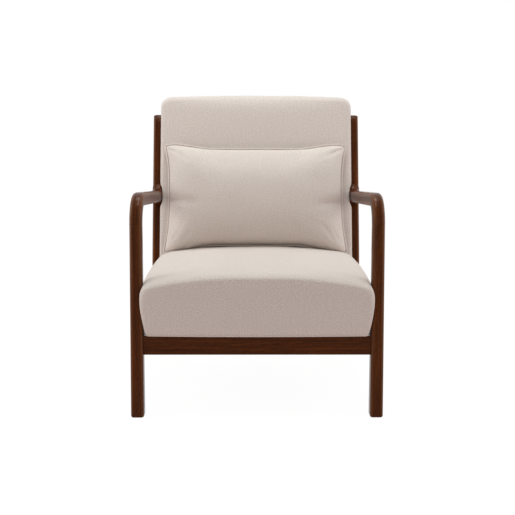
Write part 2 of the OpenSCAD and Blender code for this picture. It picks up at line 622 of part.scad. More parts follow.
// SEAT FRAME: two end boards between two side boards
module seat_frame_ends() for (y = [frame_front, frame_rear - board_t])
  translate([-frame_x + board_t, y, frame_floor]) cube([2 * (frame_x - board_t), board_t, board_h]);
module seat_frame_sides() difference() {
  for (x = [-frame_x, frame_x - board_t]) translate([x, frame_front, frame_floor])
    cube([board_t, frame_rear - frame_front, board_h]);
  for (side = [LEFT, RIGHT]) on_side(side) seat_screw_row(bore_slack);
}

// SINUOUS SPRINGS from board to board, each end held in a folded clip that it slips into
clip_w = 38;
clip_d = 14;
clip_t = 2;
clip_mouth = wire_d + 0.2;
clip_lip = 4;
spring_swing = 16;
spring_margin = 75;
spring_front = frame_front + board_t - clip_d + clip_lip;
spring_run = frame_rear - frame_front - 2 * (board_t - clip_d + clip_lip);
spring_z = frame_top + clip_t + 0.1;
function spring_places() = spread(-frame_x + spring_margin, frame_x - spring_margin, spring_count);
function spring_line() = [for (i = [0:spring_bends - 1], e = [-1, 1])
  [(i % 2 == 0 ? e : -e) * spring_swing, spring_run * i / (spring_bends - 1)]];
module wire_run(a, b) let (d = b - a) translate(a) rotate(atan2(d[1], d[0]))
  translate([-wire_d / 2, -wire_d / 2]) square([norm(d) + wire_d, wire_d]);
module seat_springs() for (x = spring_places()) translate([x, spring_front, spring_z])
  linear_extrude(wire_d) let (line = spring_line())
    for (i = [0:len(line) - 2]) wire_run(line[i], line[i + 1]);
module clip() difference() {
  translate([-clip_w / 2, -clip_lip, 0]) cube([clip_w, clip_d, 2 * clip_t + clip_mouth]);
  translate([-clip_w, -clip_mouth / 2, clip_t]) cube([2 * clip_w, 2 * clip_d, clip_mouth]);
}
module spring_clips() for (x = spring_places()) {
  translate([x, spring_front, frame_top]) clip();
  translate([x, spring_front + spring_run, frame_top]) mirror([0, 1, 0]) clip();
}
felt_z = frame_top + 2 * clip_t + clip_mouth + gap;
felt_margin = 4;
module seat_felt() translate([felt_margin - frame_x, frame_front + felt_margin, felt_z])
  cube([2 * (frame_x - felt_margin), frame_rear - frame_front - 2 * felt_margin, felt_t]);
module seat_foam() difference() {
  seat_core(cover_t + gap);
  translate([-frame_x - gap, frame_front - gap, 0])
    cube([2 * (frame_x + gap), frame_rear - frame_front + 2 * gap, felt_z + felt_t + gap]);
}
module seat_screws() for (side = [LEFT, RIGHT]) on_side(side) seat_screw_row(0);
module cleat_screws() for (side = [LEFT, RIGHT]) on_side(side) cleat_screw_row(0);
module block_screws() block_screw_set(0);

// BACK OUTLINE across x and s. Ahead of the uprights its edges puff over them, and there
// they are pressed in where the armrests pass. low and top are how far those edges draw in.
function back_half(hw, dent, low, top) = let (lo = back_low + low, hi = back_top - top, r = back_corner_r,
  pressed = dent ? min(hw, back_w / 2) : hw)
  concat([for (k = [0, 0.35, 0.7]) [k * hw, lo]],
    [for (a = [-90, -45, 0]) [hw - low_r + low_r * cos(a), lo + low_r + low_r * sin(a)]],
    [for (s = spread(lo + 3 * low_r, arm_s - 1.5 * arm_h, 5)) [hw, s]],
    [[pressed, arm_s - arm_h], [pressed, arm_s + arm_h * 1.3]],
    [for (s = spread(arm_s + arm_h * 1.9, hi - top_rise - 3 * r, 4)) [hw, s]],
    [for (a = [0, 30, 60, 90]) [hw - r + r * cos(a), hi - top_rise - r + r * sin(a)]],
    [for (k = [0.7, 0.35, 0]) [k * hw, hi - top_rise * k * k]]);
function back_wall_ring(row) = [for (p = both_halves(back_half(row[1] / 2, row[0] > 0, row[2], row[3])))
  back_at(p[0], p[1], row[0])];
function back_front(x, s) = let (a = abs(x) / (back_puff_w / 2),
  b = max(0, (s - back_mid_s) / (back_top - back_mid_s)))
  back_low_n + back_crown * (1 - pow(a, 2.6)) * smooth((s - swell_s) / swell_rise) * (1 - pow(b, 4))
    - 6 * pow(b, 8);
function back_crown_ring(t) = [for (p = both_halves(back_half(back_puff_w / 2 - 4, false, 4, 8)))
  let (x = p[0] * t, s = back_mid_s + (p[1] - back_mid_s) * t) back_at(x, s, back_front(x, s))];
function back_rings() = concat([for (row = back_rows) back_wall_ring(row)],
  [for (t = [0.965, 0.9, 0.8, 0.65, 0.45, 0.22]) back_crown_ring(t)]);
function back_core_half(skin, inset) = plain_half(back_w / 2 - skin - inset,
  back_low + skin + inset + 1, back_top - top_rise - skin - inset, core_r);
function back_core_ring(n, skin, inset) =
  [for (p = both_halves(back_core_half(skin, inset))) back_at(p[0], p[1], n)];
function back_core_crown(t, skin) = [for (p = both_halves(back_core_half(skin, 9)))
  let (x = p[0] * t, s = back_mid_s + (p[1] - back_mid_s) * t)
  back_at(x, s, back_front(x, s) - wadding_t - skin)];
module back_core(skin) loft([back_core_ring(skin - back_behind, skin, 6),
  back_core_ring(skin + 4 - back_behind, skin, 2), back_core_ring(back_seam - 10, skin, 2),
  back_core_crown(0.98, skin), back_core_crown(0.85, skin), back_core_crown(0.6, skin),
  back_core_crown(0.3, skin)]);
module back_cover() difference() {
  loft(back_rings());
  back_core(cover_t);
  for (side = [LEFT, RIGHT]) on_side(side) hanging_pins(cover_slack);
}

// BACK FRAME: two stiles and three rails, with straps across the stiles' front
// The frame stands back from the cover by stile_room, and from its rounded ends by more
stile_room = 6;
stile_n = cover_t + stile_room + stile_t / 2 - back_behind;
stile_x = back_w / 2 - cover_t - stile_room;
stile_low = back_low + cover_t + 2 * stile_room;
stile_high = back_top - top_rise - cover_t - 3.5 * stile_room;
back_frame_rail_s = [stile_low, back_mid_s - stile_w / 2, stile_high - stile_w];
module back_frame_stiles() difference() {
  in_back() for (x = [-stile_x, stile_x - stile_w])
    translate([x, -stile_n - stile_t / 2, stile_low])
      cube([stile_w, stile_t, stile_high - stile_low]);
  for (side = [LEFT, RIGHT]) on_side(side) hanging_pins(bore_slack);
}
module back_frame_rails() in_back() for (s = back_frame_rail_s)
  translate([stile_w - stile_x, -stile_n - stile_t / 2, s])
    cube([2 * (stile_x - stile_w), stile_t, stile_w]);
strap_t = 1.2;
strap_n = stile_n + stile_t / 2;
strap_end = 5;
strap_s = spread(stile_low + stile_w + 10, stile_high - stile_w - 10 - strap_w, strap_count);
module back_webbing() in_back() for (s = strap_s)
  translate([strap_end - stile_x, -strap_n - strap_t, s])
    cube([2 * (stile_x - strap_end), strap_t, strap_w]);
module back_foam() difference() {
  back_core(cover_t + gap);
  in_back() translate([-stile_x - gap, -strap_n - strap_t - gap, stile_low - gap])
    cube([2 * (stile_x + gap), back_behind, stile_high - stile_low + 2 * gap]);
  for (side = [LEFT, RIGHT]) on_side(side) hanging_pins(cover_slack);
}
// PINS that hang the back: half in the upright, half in the stile
pin_s = [back_low + pin_low, back_top - pin_top];
module hanging_pins(slack) for (s = pin_s) translate(back_at(stile_x - pin_bite - slack, s, stile_n))
  rotate([0, 90, 0]) cylinder(h = rear_inner - stile_x + 2 * pin_bite + 2 * slack, d = pin_d + 2 * slack);
module back_pins() for (side = [LEFT, RIGHT]) on_side(side) hanging_pins(0);

// LUMBAR PILLOW: a knife-edge pillow with a welt, its seam in one plane in front of the back
pillow_n = back_low_n + back_crown + pillow_rear - gap;
pillow_rest = seat_top(0, back_at(0, back_s(rail_z + seat_h, pillow_n), pillow_n)[1]);
pillow_s = back_s(pillow_rest, pillow_n) + pillow_h / 2 - pillow_in_low;
// Edge of the pillow, inset from the welt's outside: u along x, v along s, from -1 to 1
function pillow_edge(u, v, inset) = [u * (pillow_w / 2 - inset - pillow_in_x * (1 - v * v)),
  v * (pillow_h / 2 - inset - (v > 0 ? pillow_in_top : pillow_in_low) * (1 - u * u))];
pillow_half_uv = concat([for (u = [0, 0.2, 0.4, 0.6, 0.78, 0.91, 0.975]) [u, -1]],
  [for (v = [-0.955, -0.8, -0.55, -0.28, 0, 0.28, 0.55, 0.8, 0.955]) [1, v]],
  [for (u = [0.975, 0.91, 0.78, 0.6, 0.4, 0.2, 0]) [u, 1]]);
pillow_uv = both_halves(pillow_half_uv);
function plump(u, v) = pow((1 - pow(abs(u), 2.4)) * (1 - pow(abs(v), 2.4)), 0.55);
function pillow_at(p, n) = back_at(pillow_x + p[0], pillow_s + p[1], pillow_n + n);
function pillow_ring(t, inset, swell, skin) = [for (q = pillow_uv) let (u = q[0] * t, v = q[1] * t)
  pillow_at(pillow_edge(u, v, inset), swell * plump(u, v) + (swell > 0 ? -skin : skin))];
pillow_seam_in = welt_d + gap;
module pillow_cover() difference() {
  loft(concat([for (t = [0.25, 0.5, 0.72, 0.87, 0.96]) pillow_ring(t, pillow_seam_in, -pillow_rear, 0)],
    [pillow_ring(1, pillow_seam_in, 0.001, 0)],
    [for (t = [0.97, 0.9, 0.78, 0.6, 0.4, 0.2]) pillow_ring(t, pillow_seam_in, pillow_front, 0)]));
  pillow_core(cover_t);
  pillow_zipper();
}
module pillow_core(skin) loft(concat(
  [for (t = [0.3, 0.6, 0.78]) pillow_ring(t, pillow_seam_in + skin, -pillow_rear, skin + 0.6)],
  [pillow_ring(0.88, pillow_seam_in + skin, 0.001, 0)],
  [for (t = [0.8, 0.6, 0.4, 0.2]) pillow_ring(t, pillow_seam_in + skin, pillow_front, skin + wadding_t)]));
module pillow_insert() pillow_core(cover_t + gap);
// The welt: a cord tube that runs once round the seam
welt_sides = 6;
function welt_point(i) = pillow_edge(pillow_uv[i][0], pillow_uv[i][1], welt_d / 2);
module pillow_welt() let (n = len(pillow_uv), m = welt_sides) polyhedron(
  [for (i = [0:n - 1], j = [0:m - 1]) let (along = welt_point((i + 1) % n) - welt_point((i + n - 1) % n),
    out = [along[1], -along[0]] / norm(along), a = 360 * j / m)
    pillow_at(welt_point(i) + welt_d / 2 * cos(a) * out, welt_d / 2 * sin(a))],
  [for (i = [0:n - 1], j = [0:m - 1]) let (a = i * m + j, b = i * m + (j + 1) % m, c = ((i + 1) % n) * m)
    each [[a, c + j, b], [b, c + j, c + (j + 1) % m]]], convexity = 6);
// The zip lies along the lower seam, on the side that faces the back
zip_l = 300;
zip_w = 6;
zip_t = 3;
zip_s = pillow_s - pillow_h / 2 + pillow_in_low + welt_d + 4;
module pillow_zipper() in_back() translate([pillow_x - zip_l / 2, zip_t + 2 - pillow_n, zip_s])
  cube([zip_l, zip_t, zip_w]);

module left(colour) color(colour) centred() on_side(LEFT) children();
module right(colour) color(colour) centred() on_side(RIGHT) children();
module both(colour) color(colour) centred() children();
left(wood) front_leg();  // left_front_leg
right(wood) front_leg();  // right_front_leg
left(wood) armrest();  // left_armrest
right(wood) armrest();  // right_armrest
left(wood) rear_leg();  // left_rear_leg
right(wood) rear_leg();  // right_rear_leg
left(wood) side_rail();  // left_side_rail
right(wood) side_rail();  // right_side_rail
both(wood) front_rail();
both(wood) rear_rail();
left(pale_wood) cleat();  // left_cleat
right(pale_wood) cleat();  // right_cleat
both(pale_wood) corner_blocks();
both(pale_wood) rail_dowels();
both(pale_wood) arm_dowels();
both(steel) block_screws();
both(steel) cleat_screws();
both(black) foot_glides();
both(pale_wood) seat_frame_ends();
both(pale_wood) seat_frame_sides();
both(steel) seat_springs();
both(steel) spring_clips();
both(felt) seat_felt();
both(foam) seat_foam();
both(fabric) seat_cover();
both(black) seat_dust_cover();
both(steel) seat_screws();
both(pale_wood) back_frame_stiles();
both(pale_wood) back_frame_rails();
both(black) back_webbing();
both(foam) back_foam();
both(fabric) back_cover();
both(steel) back_pins();
both(fabric) pillow_cover();
both(fabric) pillow_welt();
both(foam) pillow_insert();
both(steel) pillow_zipper();
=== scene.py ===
# The looks of an upholstered lounge armchair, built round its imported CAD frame.
# Sizes are in millimetres as a maker would read them; meshes are made in metres.
import math

import bpy
import numpy as np
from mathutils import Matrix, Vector, noise


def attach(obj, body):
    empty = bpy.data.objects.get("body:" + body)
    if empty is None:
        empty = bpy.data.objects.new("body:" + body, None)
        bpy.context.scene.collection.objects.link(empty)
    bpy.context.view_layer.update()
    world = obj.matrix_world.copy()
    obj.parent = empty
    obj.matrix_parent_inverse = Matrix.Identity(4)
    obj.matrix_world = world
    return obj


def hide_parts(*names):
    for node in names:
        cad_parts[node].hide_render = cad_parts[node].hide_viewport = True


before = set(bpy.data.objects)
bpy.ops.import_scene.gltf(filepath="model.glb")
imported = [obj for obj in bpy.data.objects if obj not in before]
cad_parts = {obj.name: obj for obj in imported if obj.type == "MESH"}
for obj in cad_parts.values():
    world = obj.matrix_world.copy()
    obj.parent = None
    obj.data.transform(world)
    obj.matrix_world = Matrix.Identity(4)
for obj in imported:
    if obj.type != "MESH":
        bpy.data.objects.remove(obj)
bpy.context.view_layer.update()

# ROOM AND CAMERA. A product studio with a pale seamless floor, a wide soft box high behind the
# chair, a smaller one above its front and a tall strip at each side, all slightly cool. White
# paper is what the camera and the lacquer see all round.
MM = 0.001
scene = bpy.context.scene
scene.view_settings.view_transform = "Standard"


def linear(hex_colour):
    """An sRGB hex colour as the linear RGBA that a node or lamp takes."""
    parts = [int(hex_colour[i:i + 2], 16) / 255 for i in (1, 3, 5)]
    return [c / 12.92 if c <= 0.04045 else ((c + 0.055) / 1.055) ** 2.4 for c in parts] + [1.0]


def add_node(tree, kind, inputs=None, stops=None, **settings):
    """Adds a node with its settings. An input takes a value or another node's socket. Stops are
    a ramp's places and sRGB hex colours, in order."""
    node = tree.nodes.new(kind)
    for key, value in settings.items():
        setattr(node, key, value)
    for key, value in (inputs or {}).items():
        if isinstance(value, bpy.types.NodeSocket):
            tree.links.new(value, node.inputs[key])
        else:
            node.inputs[key].default_value = value
    for i, (place, colour) in enumerate(stops or []):
        ramp = node.color_ramp
        element = ramp.elements[i] if i < 2 else ramp.elements.new(place)
        element.position = place
        element.color = linear(colour)
    return node


def seen_directly(tree):
    """1 for rays from the camera, a reflection or a transmission, and 0 for all other light."""
    path = add_node(tree, "ShaderNodeLightPath").outputs
    mirror = add_node(tree, "ShaderNodeMath", operation="MAXIMUM", inputs={
        0: path["Is Glossy Ray"], 1: path["Is Transmission Ray"]}).outputs[0]
    return add_node(tree, "ShaderNodeMath", operation="MAXIMUM", inputs={
        0: path["Is Camera Ray"], 1: mirror}).outputs[0]


def new_material(name):
    """An empty material and its node tree."""
    material = bpy.data.materials.new(name)
    material.use_nodes = True
    material.node_tree.nodes.clear()
    return material, material.node_tree


def add_object(name, data):
    """A mesh, lamp or camera as an object in the scene."""
    placed = bpy.data.objects.new(name, data)
    scene.collection.objects.link(placed)
    return placed


# The paper round the set is white to the eye, and lights the chair with this share of that
sky_light = 0.445
scene.world = bpy.data.worlds.new("studio_paper")
scene.world.use_nodes = True
sky = scene.world.node_tree
sky.nodes.clear()
sky_strength = add_node(sky, "ShaderNodeMath", operation="MULTIPLY_ADD", inputs={
    0: seen_directly(sky), 1: 1 - sky_light, 2: sky_light}).outputs[0]
paper = add_node(sky, "ShaderNodeBackground", inputs={
    "Color": linear("#ffffff"), "Strength": sky_strength})
add_node(sky, "ShaderNodeOutputWorld", inputs={"Surface": paper.outputs[0]})

# The floor is matt paper. Where it is seen directly, most of it glows as overexposed paper does
floor_half, floor_glow, glow_share = 9.0, 1.09, 0.88
floor_mesh = bpy.data.meshes.new("studio_floor")
floor_corners = [(x * floor_half, y * floor_half, 0) for x, y in ((-1, -1), (1, -1), (1, 1), (-1, 1))]
floor_mesh.from_pydata(floor_corners, [], [(0, 1, 2, 3)])
floor = add_object("studio_floor", floor_mesh)
floor_paper, tree = new_material("seamless_paper")
matt = add_node(tree, "ShaderNodeBsdfPrincipled", inputs={
    "Base Color": linear("#f2e2e1"), "Roughness": 0.95, "Specular IOR Level": 0.1})
white = add_node(tree, "ShaderNodeEmission", inputs={
    "Color": linear("#ffffff"), "Strength": floor_glow})
share = add_node(tree, "ShaderNodeMath", operation="MULTIPLY", inputs={
    0: seen_directly(tree), 1: glow_share})
mixed = add_node(tree, "ShaderNodeMixShader", inputs={
    0: share.outputs[0], 1: matt.outputs[0], 2: white.outputs[0]})
add_node(tree, "ShaderNodeOutputMaterial", inputs={"Surface": mixed.outputs[0]})
floor_mesh.materials.append(floor_paper)

# Each lamp has a place, a point that it faces, a width and height, all in metres, and watts
lamp_colour = linear("#faffff")[:3]
for lamp_name, place, aim, size, watts in (
        ("overhead_softbox", (0.0, 0.6, 3.3), (0.0, 0.05, 0.4), (1.2, 0.9), 26.0),
        ("overhead_key", (-0.1, -0.5, 2.7), (0.0, 0.05, 0.4), (0.55, 0.45), 13.0),
        ("left_strip", (-2.1, -0.1, 1.0), (0.0, 0.0, 0.5), (1.1, 1.6), 15.0),
        ("right_strip", (2.1, -0.1, 1.0), (0.0, 0.0, 0.5), (1.1, 1.6), 12.0)):
    lamp_data = bpy.data.lights.new(lamp_name, "AREA")
    lamp_data.shape = "RECTANGLE"
    lamp_data.size, lamp_data.size_y = size
    lamp_data.energy = watts
    lamp_data.color = lamp_colour
    lamp = add_object(lamp_name, lamp_data)
    lamp.location = place
    lamp.rotation_euler = (Vector(aim) - Vector(place)).to_track_quat("-Z", "Y").to_euler()

# The camera's place is in metres, its turn in degrees, and its lens and frame in mm
camera_place, camera_turn = (-0.0196, -2.588, 0.8049), (80.715, -0.118, -0.49)
camera_lens, camera_frame = 59.83, 36.0
camera_data = bpy.data.cameras.new("product_camera")
camera_data.lens = camera_lens
camera_data.sensor_width = camera_frame
camera = add_object("product_camera", camera_data)
camera.location = camera_place
camera.rotation_euler = [math.radians(turn) for turn in camera_turn]
scene.camera = camera

# SIDE FRAMES. Solid walnut, shaped and sanded, stained dark and lacquered to a satin. Each has
# a raked front leg, an armrest that turns out of it in one bend, and a boomerang rear leg
# with a leaning upright that the armrest is dowelled into, with hand-shaped fillets.

# The chair's own frame has y = 0 at the armrests' front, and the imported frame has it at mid_y
mid_y = 322.304
chair_w, arm_t, arm_h = 684.0, 33.5, 38.0
leg_foot_w, leg_foot_d, leg_lean = 35.5, 40.0, 4.6
arm_z, arm_slope, bend_r = 608.0, 4.2, 66.0
leg_edge_r, arm_edge_r, end_round, glide_h = 8.0, 12.0, 5.0, 1.6
rear_w, knee_y, knee_z, knee_r = 36.0, 533.0, 296.0, 260.0
upright_lean, rear_kick, upright_z = 13.1, 17.8, 814.0
rear_foot_d, knee_d, upright_top_d, rear_edge_r = 34.0, 57.0, 33.0, 9.0
fillet_top, fillet_low = 34.0, 12.0
side_x, arm_x = chair_w / 2 - rear_w / 2, chair_w / 2 - arm_t / 2
rear_inner = side_x - rear_w / 2
# Left and right are as seen from the front
LEFT, RIGHT = -1, 1
corner_steps = 10


def sin(degrees):
    return math.sin(math.radians(degrees))


def cos(degrees):
    return math.cos(math.radians(degrees))


def tan(degrees):
    return math.tan(math.radians(degrees))


def smooth(t):
    """Eases from 0 to 1 while t does, and stays there on both sides."""
    t = min(1.0, max(0.0, t))
    return t * t * (3 - 2 * t)


def spread(a, b, count):
    """Evenly spaced values from a to b."""
    return [a + (b - a) * i / (count - 1) for i in range(count)]


def section(half_w, half_d, r):
    """A rounded section: each point with how far it stands on a rounded edge, 0 to 1."""
    points = []
    for corner, (sx, sy) in enumerate(((1, 1), (-1, 1), (-1, -1), (1, -1))):
        for i in range(corner_steps + 1):
            a = 90 * (corner + i / corner_steps)
            points.append((sx * (half_w - r) + r * cos(a), sy * (half_d - r) + r * sin(a),
                           sin(180 * i / corner_steps)))
    return points


def mesh_piece(name, points, faces, side=RIGHT):
    """A smooth piece from points in mm, in the chair's own frame, mirrored for the left side."""
    points = np.array(points, float) * MM
    points[:, 1] -= mid_y * MM
    points[:, 0] *= side
    mesh = bpy.data.meshes.new(name)
    mesh.from_pydata(points.tolist(), [], faces)
    mesh.polygons.foreach_set("use_smooth", [True] * len(faces))
    return add_object(name, mesh)


def ring_piece(name, rings, side=RIGHT, marks=None):
    """A closed piece through rings of equal counts, with a point in the middle of each end.
    Marks are values carried by each point of each ring, such as its place in the grain."""
    rings = np.array(rings, float)
    m, n = rings.shape[:2]
    ends = [rings[0].mean(0), rings[-1].mean(0)]
    faces = [(m * n, j, (j + 1) % n) for j in range(n)]
    faces += [(i * n + j, i * n + n + j, i * n + n + (j + 1) % n, i * n + (j + 1) % n)
              for i in range(m - 1) for j in range(n)]
    faces += [(m * n + 1, (m - 1) * n + (j + 1) % n, (m - 1) * n + j) for j in range(n)]
    if side == RIGHT:
        faces = [face[::-1] for face in faces]
    piece = mesh_piece(name, np.vstack([rings.reshape(-1, 3), ends]), faces, side)
    for mark, values in (marks or {}).items():
        flat = np.array(values, float).reshape(m * n, -1)
        flat = np.vstack([flat, flat[:n].mean(0), flat[-n:].mean(0)])
        kind, field = ("FLOAT_VECTOR", "vector") if flat.shape[1] == 3 else ("FLOAT", "value")
        attribute = piece.data.attributes.new(mark, kind, "POINT")
        attribute.data.foreach_set(field, flat.ravel().astype(np.float32))
    return piece


def stretched_noise(tree, place, sizes, **inputs):
    """Unevenness whose features have these sizes, in metres, along x, y and z."""
    stretched = add_node(tree, "ShaderNodeMapping", inputs={
        "Vector": place, "Scale": [1 / size for size in sizes]}).outputs[0]
    return add_node(tree, "ShaderNodeTexNoise", inputs={
        "Vector": stretched, "Scale": 1.0, **inputs}).outputs["Fac"]


def stained_walnut(name, along=None):
    """Walnut, stained dark and lacquered to a satin: near-black streaks in a red-brown, open pores
    that the lacquer doesn't fill, rounded edges mixed to a lighter brown, partly as sanded-through
    wear and partly as a painted highlight, and a warm, fairly sharp shine. Grain follows the piece's
    own line, or the axis along (0 is x)."""
    material, tree = new_material(name)
    if along is None:
        place = add_node(tree, "ShaderNodeAttribute", attribute_name="grain").outputs["Vector"]
    else:
        turned = (0, math.radians(90), 0) if along == 0 else (math.radians(90), 0, 0)
        where = add_node(tree, "ShaderNodeTexCoord").outputs["Object"]
        place = add_node(tree, "ShaderNodeMapping", inputs={
            "Vector": where, "Rotation": turned}).outputs[0]
    # Growth streaks are about 9 mm wide and run some 250 mm. Pores are drawn 0.9 mm by 14 mm,
    # coarser than walnut's 0.3 mm, so that they show
    streak_w, streak_l, pore_w, pore_l = 9 * MM, 250 * MM, 0.9 * MM, 14 * MM
    streaks = stretched_noise(tree, place, (streak_w, streak_w, streak_l),
                              Detail=4.0, Roughness=0.6, Distortion=0.8)
    pores = stretched_noise(tree, place, (pore_w, pore_w, pore_l), Detail=2.0, Roughness=0.5)
    stain = add_node(tree, "ShaderNodeValToRGB", inputs={"Fac": streaks}, stops=[
        (0.3, "#361401"), (0.5, "#4a2003"), (0.72, "#602e0c")]).outputs["Color"]
    pore_dark = add_node(tree, "ShaderNodeValToRGB", inputs={"Fac": pores}, stops=[
        (0.36, "#8a8078"), (0.48, "#ffffff")]).outputs["Color"]
    grained = add_node(tree, "ShaderNodeMix", data_type="RGBA", blend_type="MULTIPLY", inputs={
        0: 0.8, 6: stain, 7: pore_dark}).outputs[2]
    # Rounded edges are mixed towards #85573a where the streaks allow. This is partly sanded-through
    # wear and partly a painted highlight that stands in for light streaks along the edges
    edge = add_node(tree, "ShaderNodeAttribute", attribute_name="edge").outputs["Fac"]
    edge_wear_and_highlight = add_node(tree, "ShaderNodeMath", operation="MULTIPLY", inputs={
        0: edge, 1: streaks}).outputs[0]
    edge_wear_and_highlight = add_node(tree, "ShaderNodeMath", operation="MULTIPLY", inputs={
        0: edge_wear_and_highlight, 1: 0.6}).outputs[0]
    colour = add_node(tree, "ShaderNodeMix", data_type="RGBA", inputs={
        0: edge_wear_and_highlight, 6: grained, 7: linear("#85573a")}).outputs[2]
    shine = add_node(tree, "ShaderNodeMapRange", inputs={
        "Value": pores, "From Min": 0.3, "From Max": 0.7, "To Min": 0.27, "To Max": 0.2}).outputs[0]
    dents = add_node(tree, "ShaderNodeBump", inputs={
        "Height": pores, "Strength": 0.25, "Distance": 0.25 * MM}).outputs[0]
    lacquer = add_node(tree, "ShaderNodeBsdfPrincipled", inputs={
        "Base Color": colour, "Roughness": shine, "IOR": 1.5, "Specular IOR Level": 0.18,
        "Specular Tint": linear("#ffcbae"), "Normal": dents})
    add_node(tree, "ShaderNodeOutputMaterial", inputs={"Surface": lacquer.outputs[0]})
    return material


# The middle line of the side frame is drawn as [y, z], with y = 0 at the leg's front where the
# armrest's line and the leg's would meet
arm_corner = (arm_h / 2, arm_z - arm_h / 2 / cos(arm_slope) - arm_h / 2 * tan(arm_slope))
bend_turn = 90 + arm_slope - leg_lean
bend_run = bend_r * tan(bend_turn / 2)
bend_start = (arm_corner[0] - bend_run * sin(leg_lean), arm_corner[1] - bend_run * cos(leg_lean))
bend_centre = (bend_start[0] + bend_r * cos(leg_lean), bend_start[1] - bend_r * sin(leg_lean))
arm_start = (arm_corner[0] + bend_run * cos(arm_slope), arm_corner[1] - bend_run * sin(arm_slope))


def leg_size(z):
    """Width, depth and edge radius of the front leg at a height."""
    t = z / bend_start[1]
    return (leg_foot_w + (arm_t - leg_foot_w) * t, leg_foot_d + (arm_h - leg_foot_d) * t,
            leg_edge_r + (arm_edge_r - leg_edge_r) * t)


def leg_y(z):
    """Where the front leg's middle line is at a height."""
    return arm_corner[0] - (arm_corner[1] - z) * tan(leg_lean)


def leg_front(z):
    return leg_y(z) - leg_size(z)[1] / 2


def leg_back(z):
    return leg_y(z) + leg_size(z)[1] / 2


def leg_inner(z):
    return chair_w / 2 - leg_size(z)[0]


def leg_ring(z, inset):
    """A level ring of the front leg. Each point also has its place in the grain and its mark of
    a rounded edge, as in all rings of the side frames."""
    w, d, r = leg_size(z)
    return [(chair_w / 2 - w / 2 + x, leg_y(z) + y, z, x, y, z, edge)
            for x, y, edge in section(w / 2 - inset, d / 2 - inset, max(r - inset, 1))]


def bend_ring(angle, along, inset=0.0):
    """A ring across the bend, which turns from the leg's lean to the armrest's fall."""
    y0 = bend_centre[0] - bend_r * cos(angle)
    z0 = bend_centre[1] + bend_r * sin(angle)
    return [(arm_x + x, y0 + y * cos(angle), z0 - y * sin(angle), x, y, along, edge)
            for x, y, edge in section(arm_t / 2 - inset, arm_h / 2 - inset, arm_edge_r)]


# The rear leg is a straight leg, a knee arc and a straight upright, by distance s from the foot
knee_run = knee_r * tan((upright_lean + rear_kick) / 2)
low_len = (knee_z - glide_h) / cos(rear_kick) - knee_run
arc_len = knee_r * math.radians(upright_lean + rear_kick)
upright_rise = upright_z - knee_z - upright_top_d / 2 * sin(upright_lean)
up_len = upright_rise / cos(upright_lean) - knee_run
rear_len = low_len + arc_len + up_len
arc_start = (knee_y + knee_run * sin(rear_kick), knee_z - knee_run * cos(rear_kick))
arc_centre = (arc_start[0] + knee_r * cos(rear_kick), arc_start[1] + knee_r * sin(rear_kick))


def rear_angle(s):
    """Lean of the rear leg's middle line, from the foot's kick to the upright's."""
    if s < low_len:
        return -rear_kick
    return min(upright_lean, math.degrees((s - low_len) / knee_r) - rear_kick)


def rear_point(s):
    """Place y, z on the rear leg's middle line."""
    if s < low_len:
        back = low_len - s
        return arc_start[0] + back * sin(rear_kick), arc_start[1] - back * cos(rear_kick)
    if s > low_len + arc_len:
        on = knee_run + s - low_len - arc_len
        return knee_y + on * sin(upright_lean), knee_z + on * cos(upright_lean)
    a = rear_angle(s)
    return arc_centre[0] - knee_r * cos(a), arc_centre[1] + knee_r * sin(a)


def rear_d(s):
    """Depth of the rear leg, which is deepest in the middle of its knee."""
    knee_s = low_len + arc_len / 2
    if s < knee_s:
        return rear_foot_d + (knee_d - rear_foot_d) * smooth(s / knee_s)
    return knee_d + (upright_top_d - knee_d) * (s - knee_s) / (rear_len - knee_s)


def upright_s(z):
    return low_len + arc_len + (z - knee_z) / cos(upright_lean) - knee_run


def upright_front(z):
    half_d = rear_d(upright_s(z)) / 2
    return knee_y + (z - knee_z) * tan(upright_lean) - half_d / cos(upright_lean)


def rear_low_y(z):
    return knee_y + (knee_z - z) * tan(rear_kick)


def rear_ring(s, inset):
    a, (y0, z0) = rear_angle(s), rear_point(s)
    return [(side_x + x, y0 + y * cos(a), z0 - y * sin(a), x, y, s, edge)
            for x, y, edge in section(rear_w / 2 - inset, rear_d(s) / 2 - inset, rear_edge_r)]


def rear_foot_ring(z, inset):
    """A ring near the foot, which is cut level to stand on its glide."""
    s = (z - glide_h) / cos(rear_kick)
    return [(side_x + x, rear_low_y(z) + y / cos(rear_kick), z, x, y, s, edge)
            for x, y, edge in section(rear_w / 2 - inset, rear_foot_d / 2 - inset, rear_edge_r)]


# The back lies along the uprights' front line: s runs up that line and n stands out of it
base_over_knee = 52
base_z = knee_z + base_over_knee
base_y = upright_front(base_z)
back_lean = math.degrees(math.atan((upright_front(upright_z) - base_y) / (upright_z - base_z)))


def back_at(x, s, n):
    """The point that lies s up the uprights' front line and n out of it."""
    y = base_y + s * sin(back_lean) - n * cos(back_lean)
    return x, y, base_z + s * cos(back_lean) + n * sin(back_lean)


def back_s(z, n):
    return (z - base_z - n * sin(back_lean)) / cos(back_lean)


# Where the armrest's line meets the upright's, and the flare and fillets of its end
crossing = cos(arm_slope) * cos(upright_lean) + sin(arm_slope) * sin(upright_lean)
knee_dy, knee_dz = knee_y - arm_start[0], knee_z - arm_start[1]
arm_len = (knee_dy * cos(upright_lean) - knee_dz * sin(upright_lean)) / crossing
arm_end_z = arm_start[1] - arm_len * sin(arm_slope)
face_tilt = back_lean - arm_slope
arm_free = arm_len - rear_d(upright_s(arm_end_z)) / 2 / cos(face_tilt)
arm_s = back_s(arm_end_z, 0)
flare_run = 3 * fillet_top


def fillet(r, distance):
    """How far a fillet of radius r stands out at a distance from the face that it runs up to."""
    d = max(distance, r * 0.08)
    return 0 if d >= r else r - math.sqrt(r * r - (r - d) ** 2)


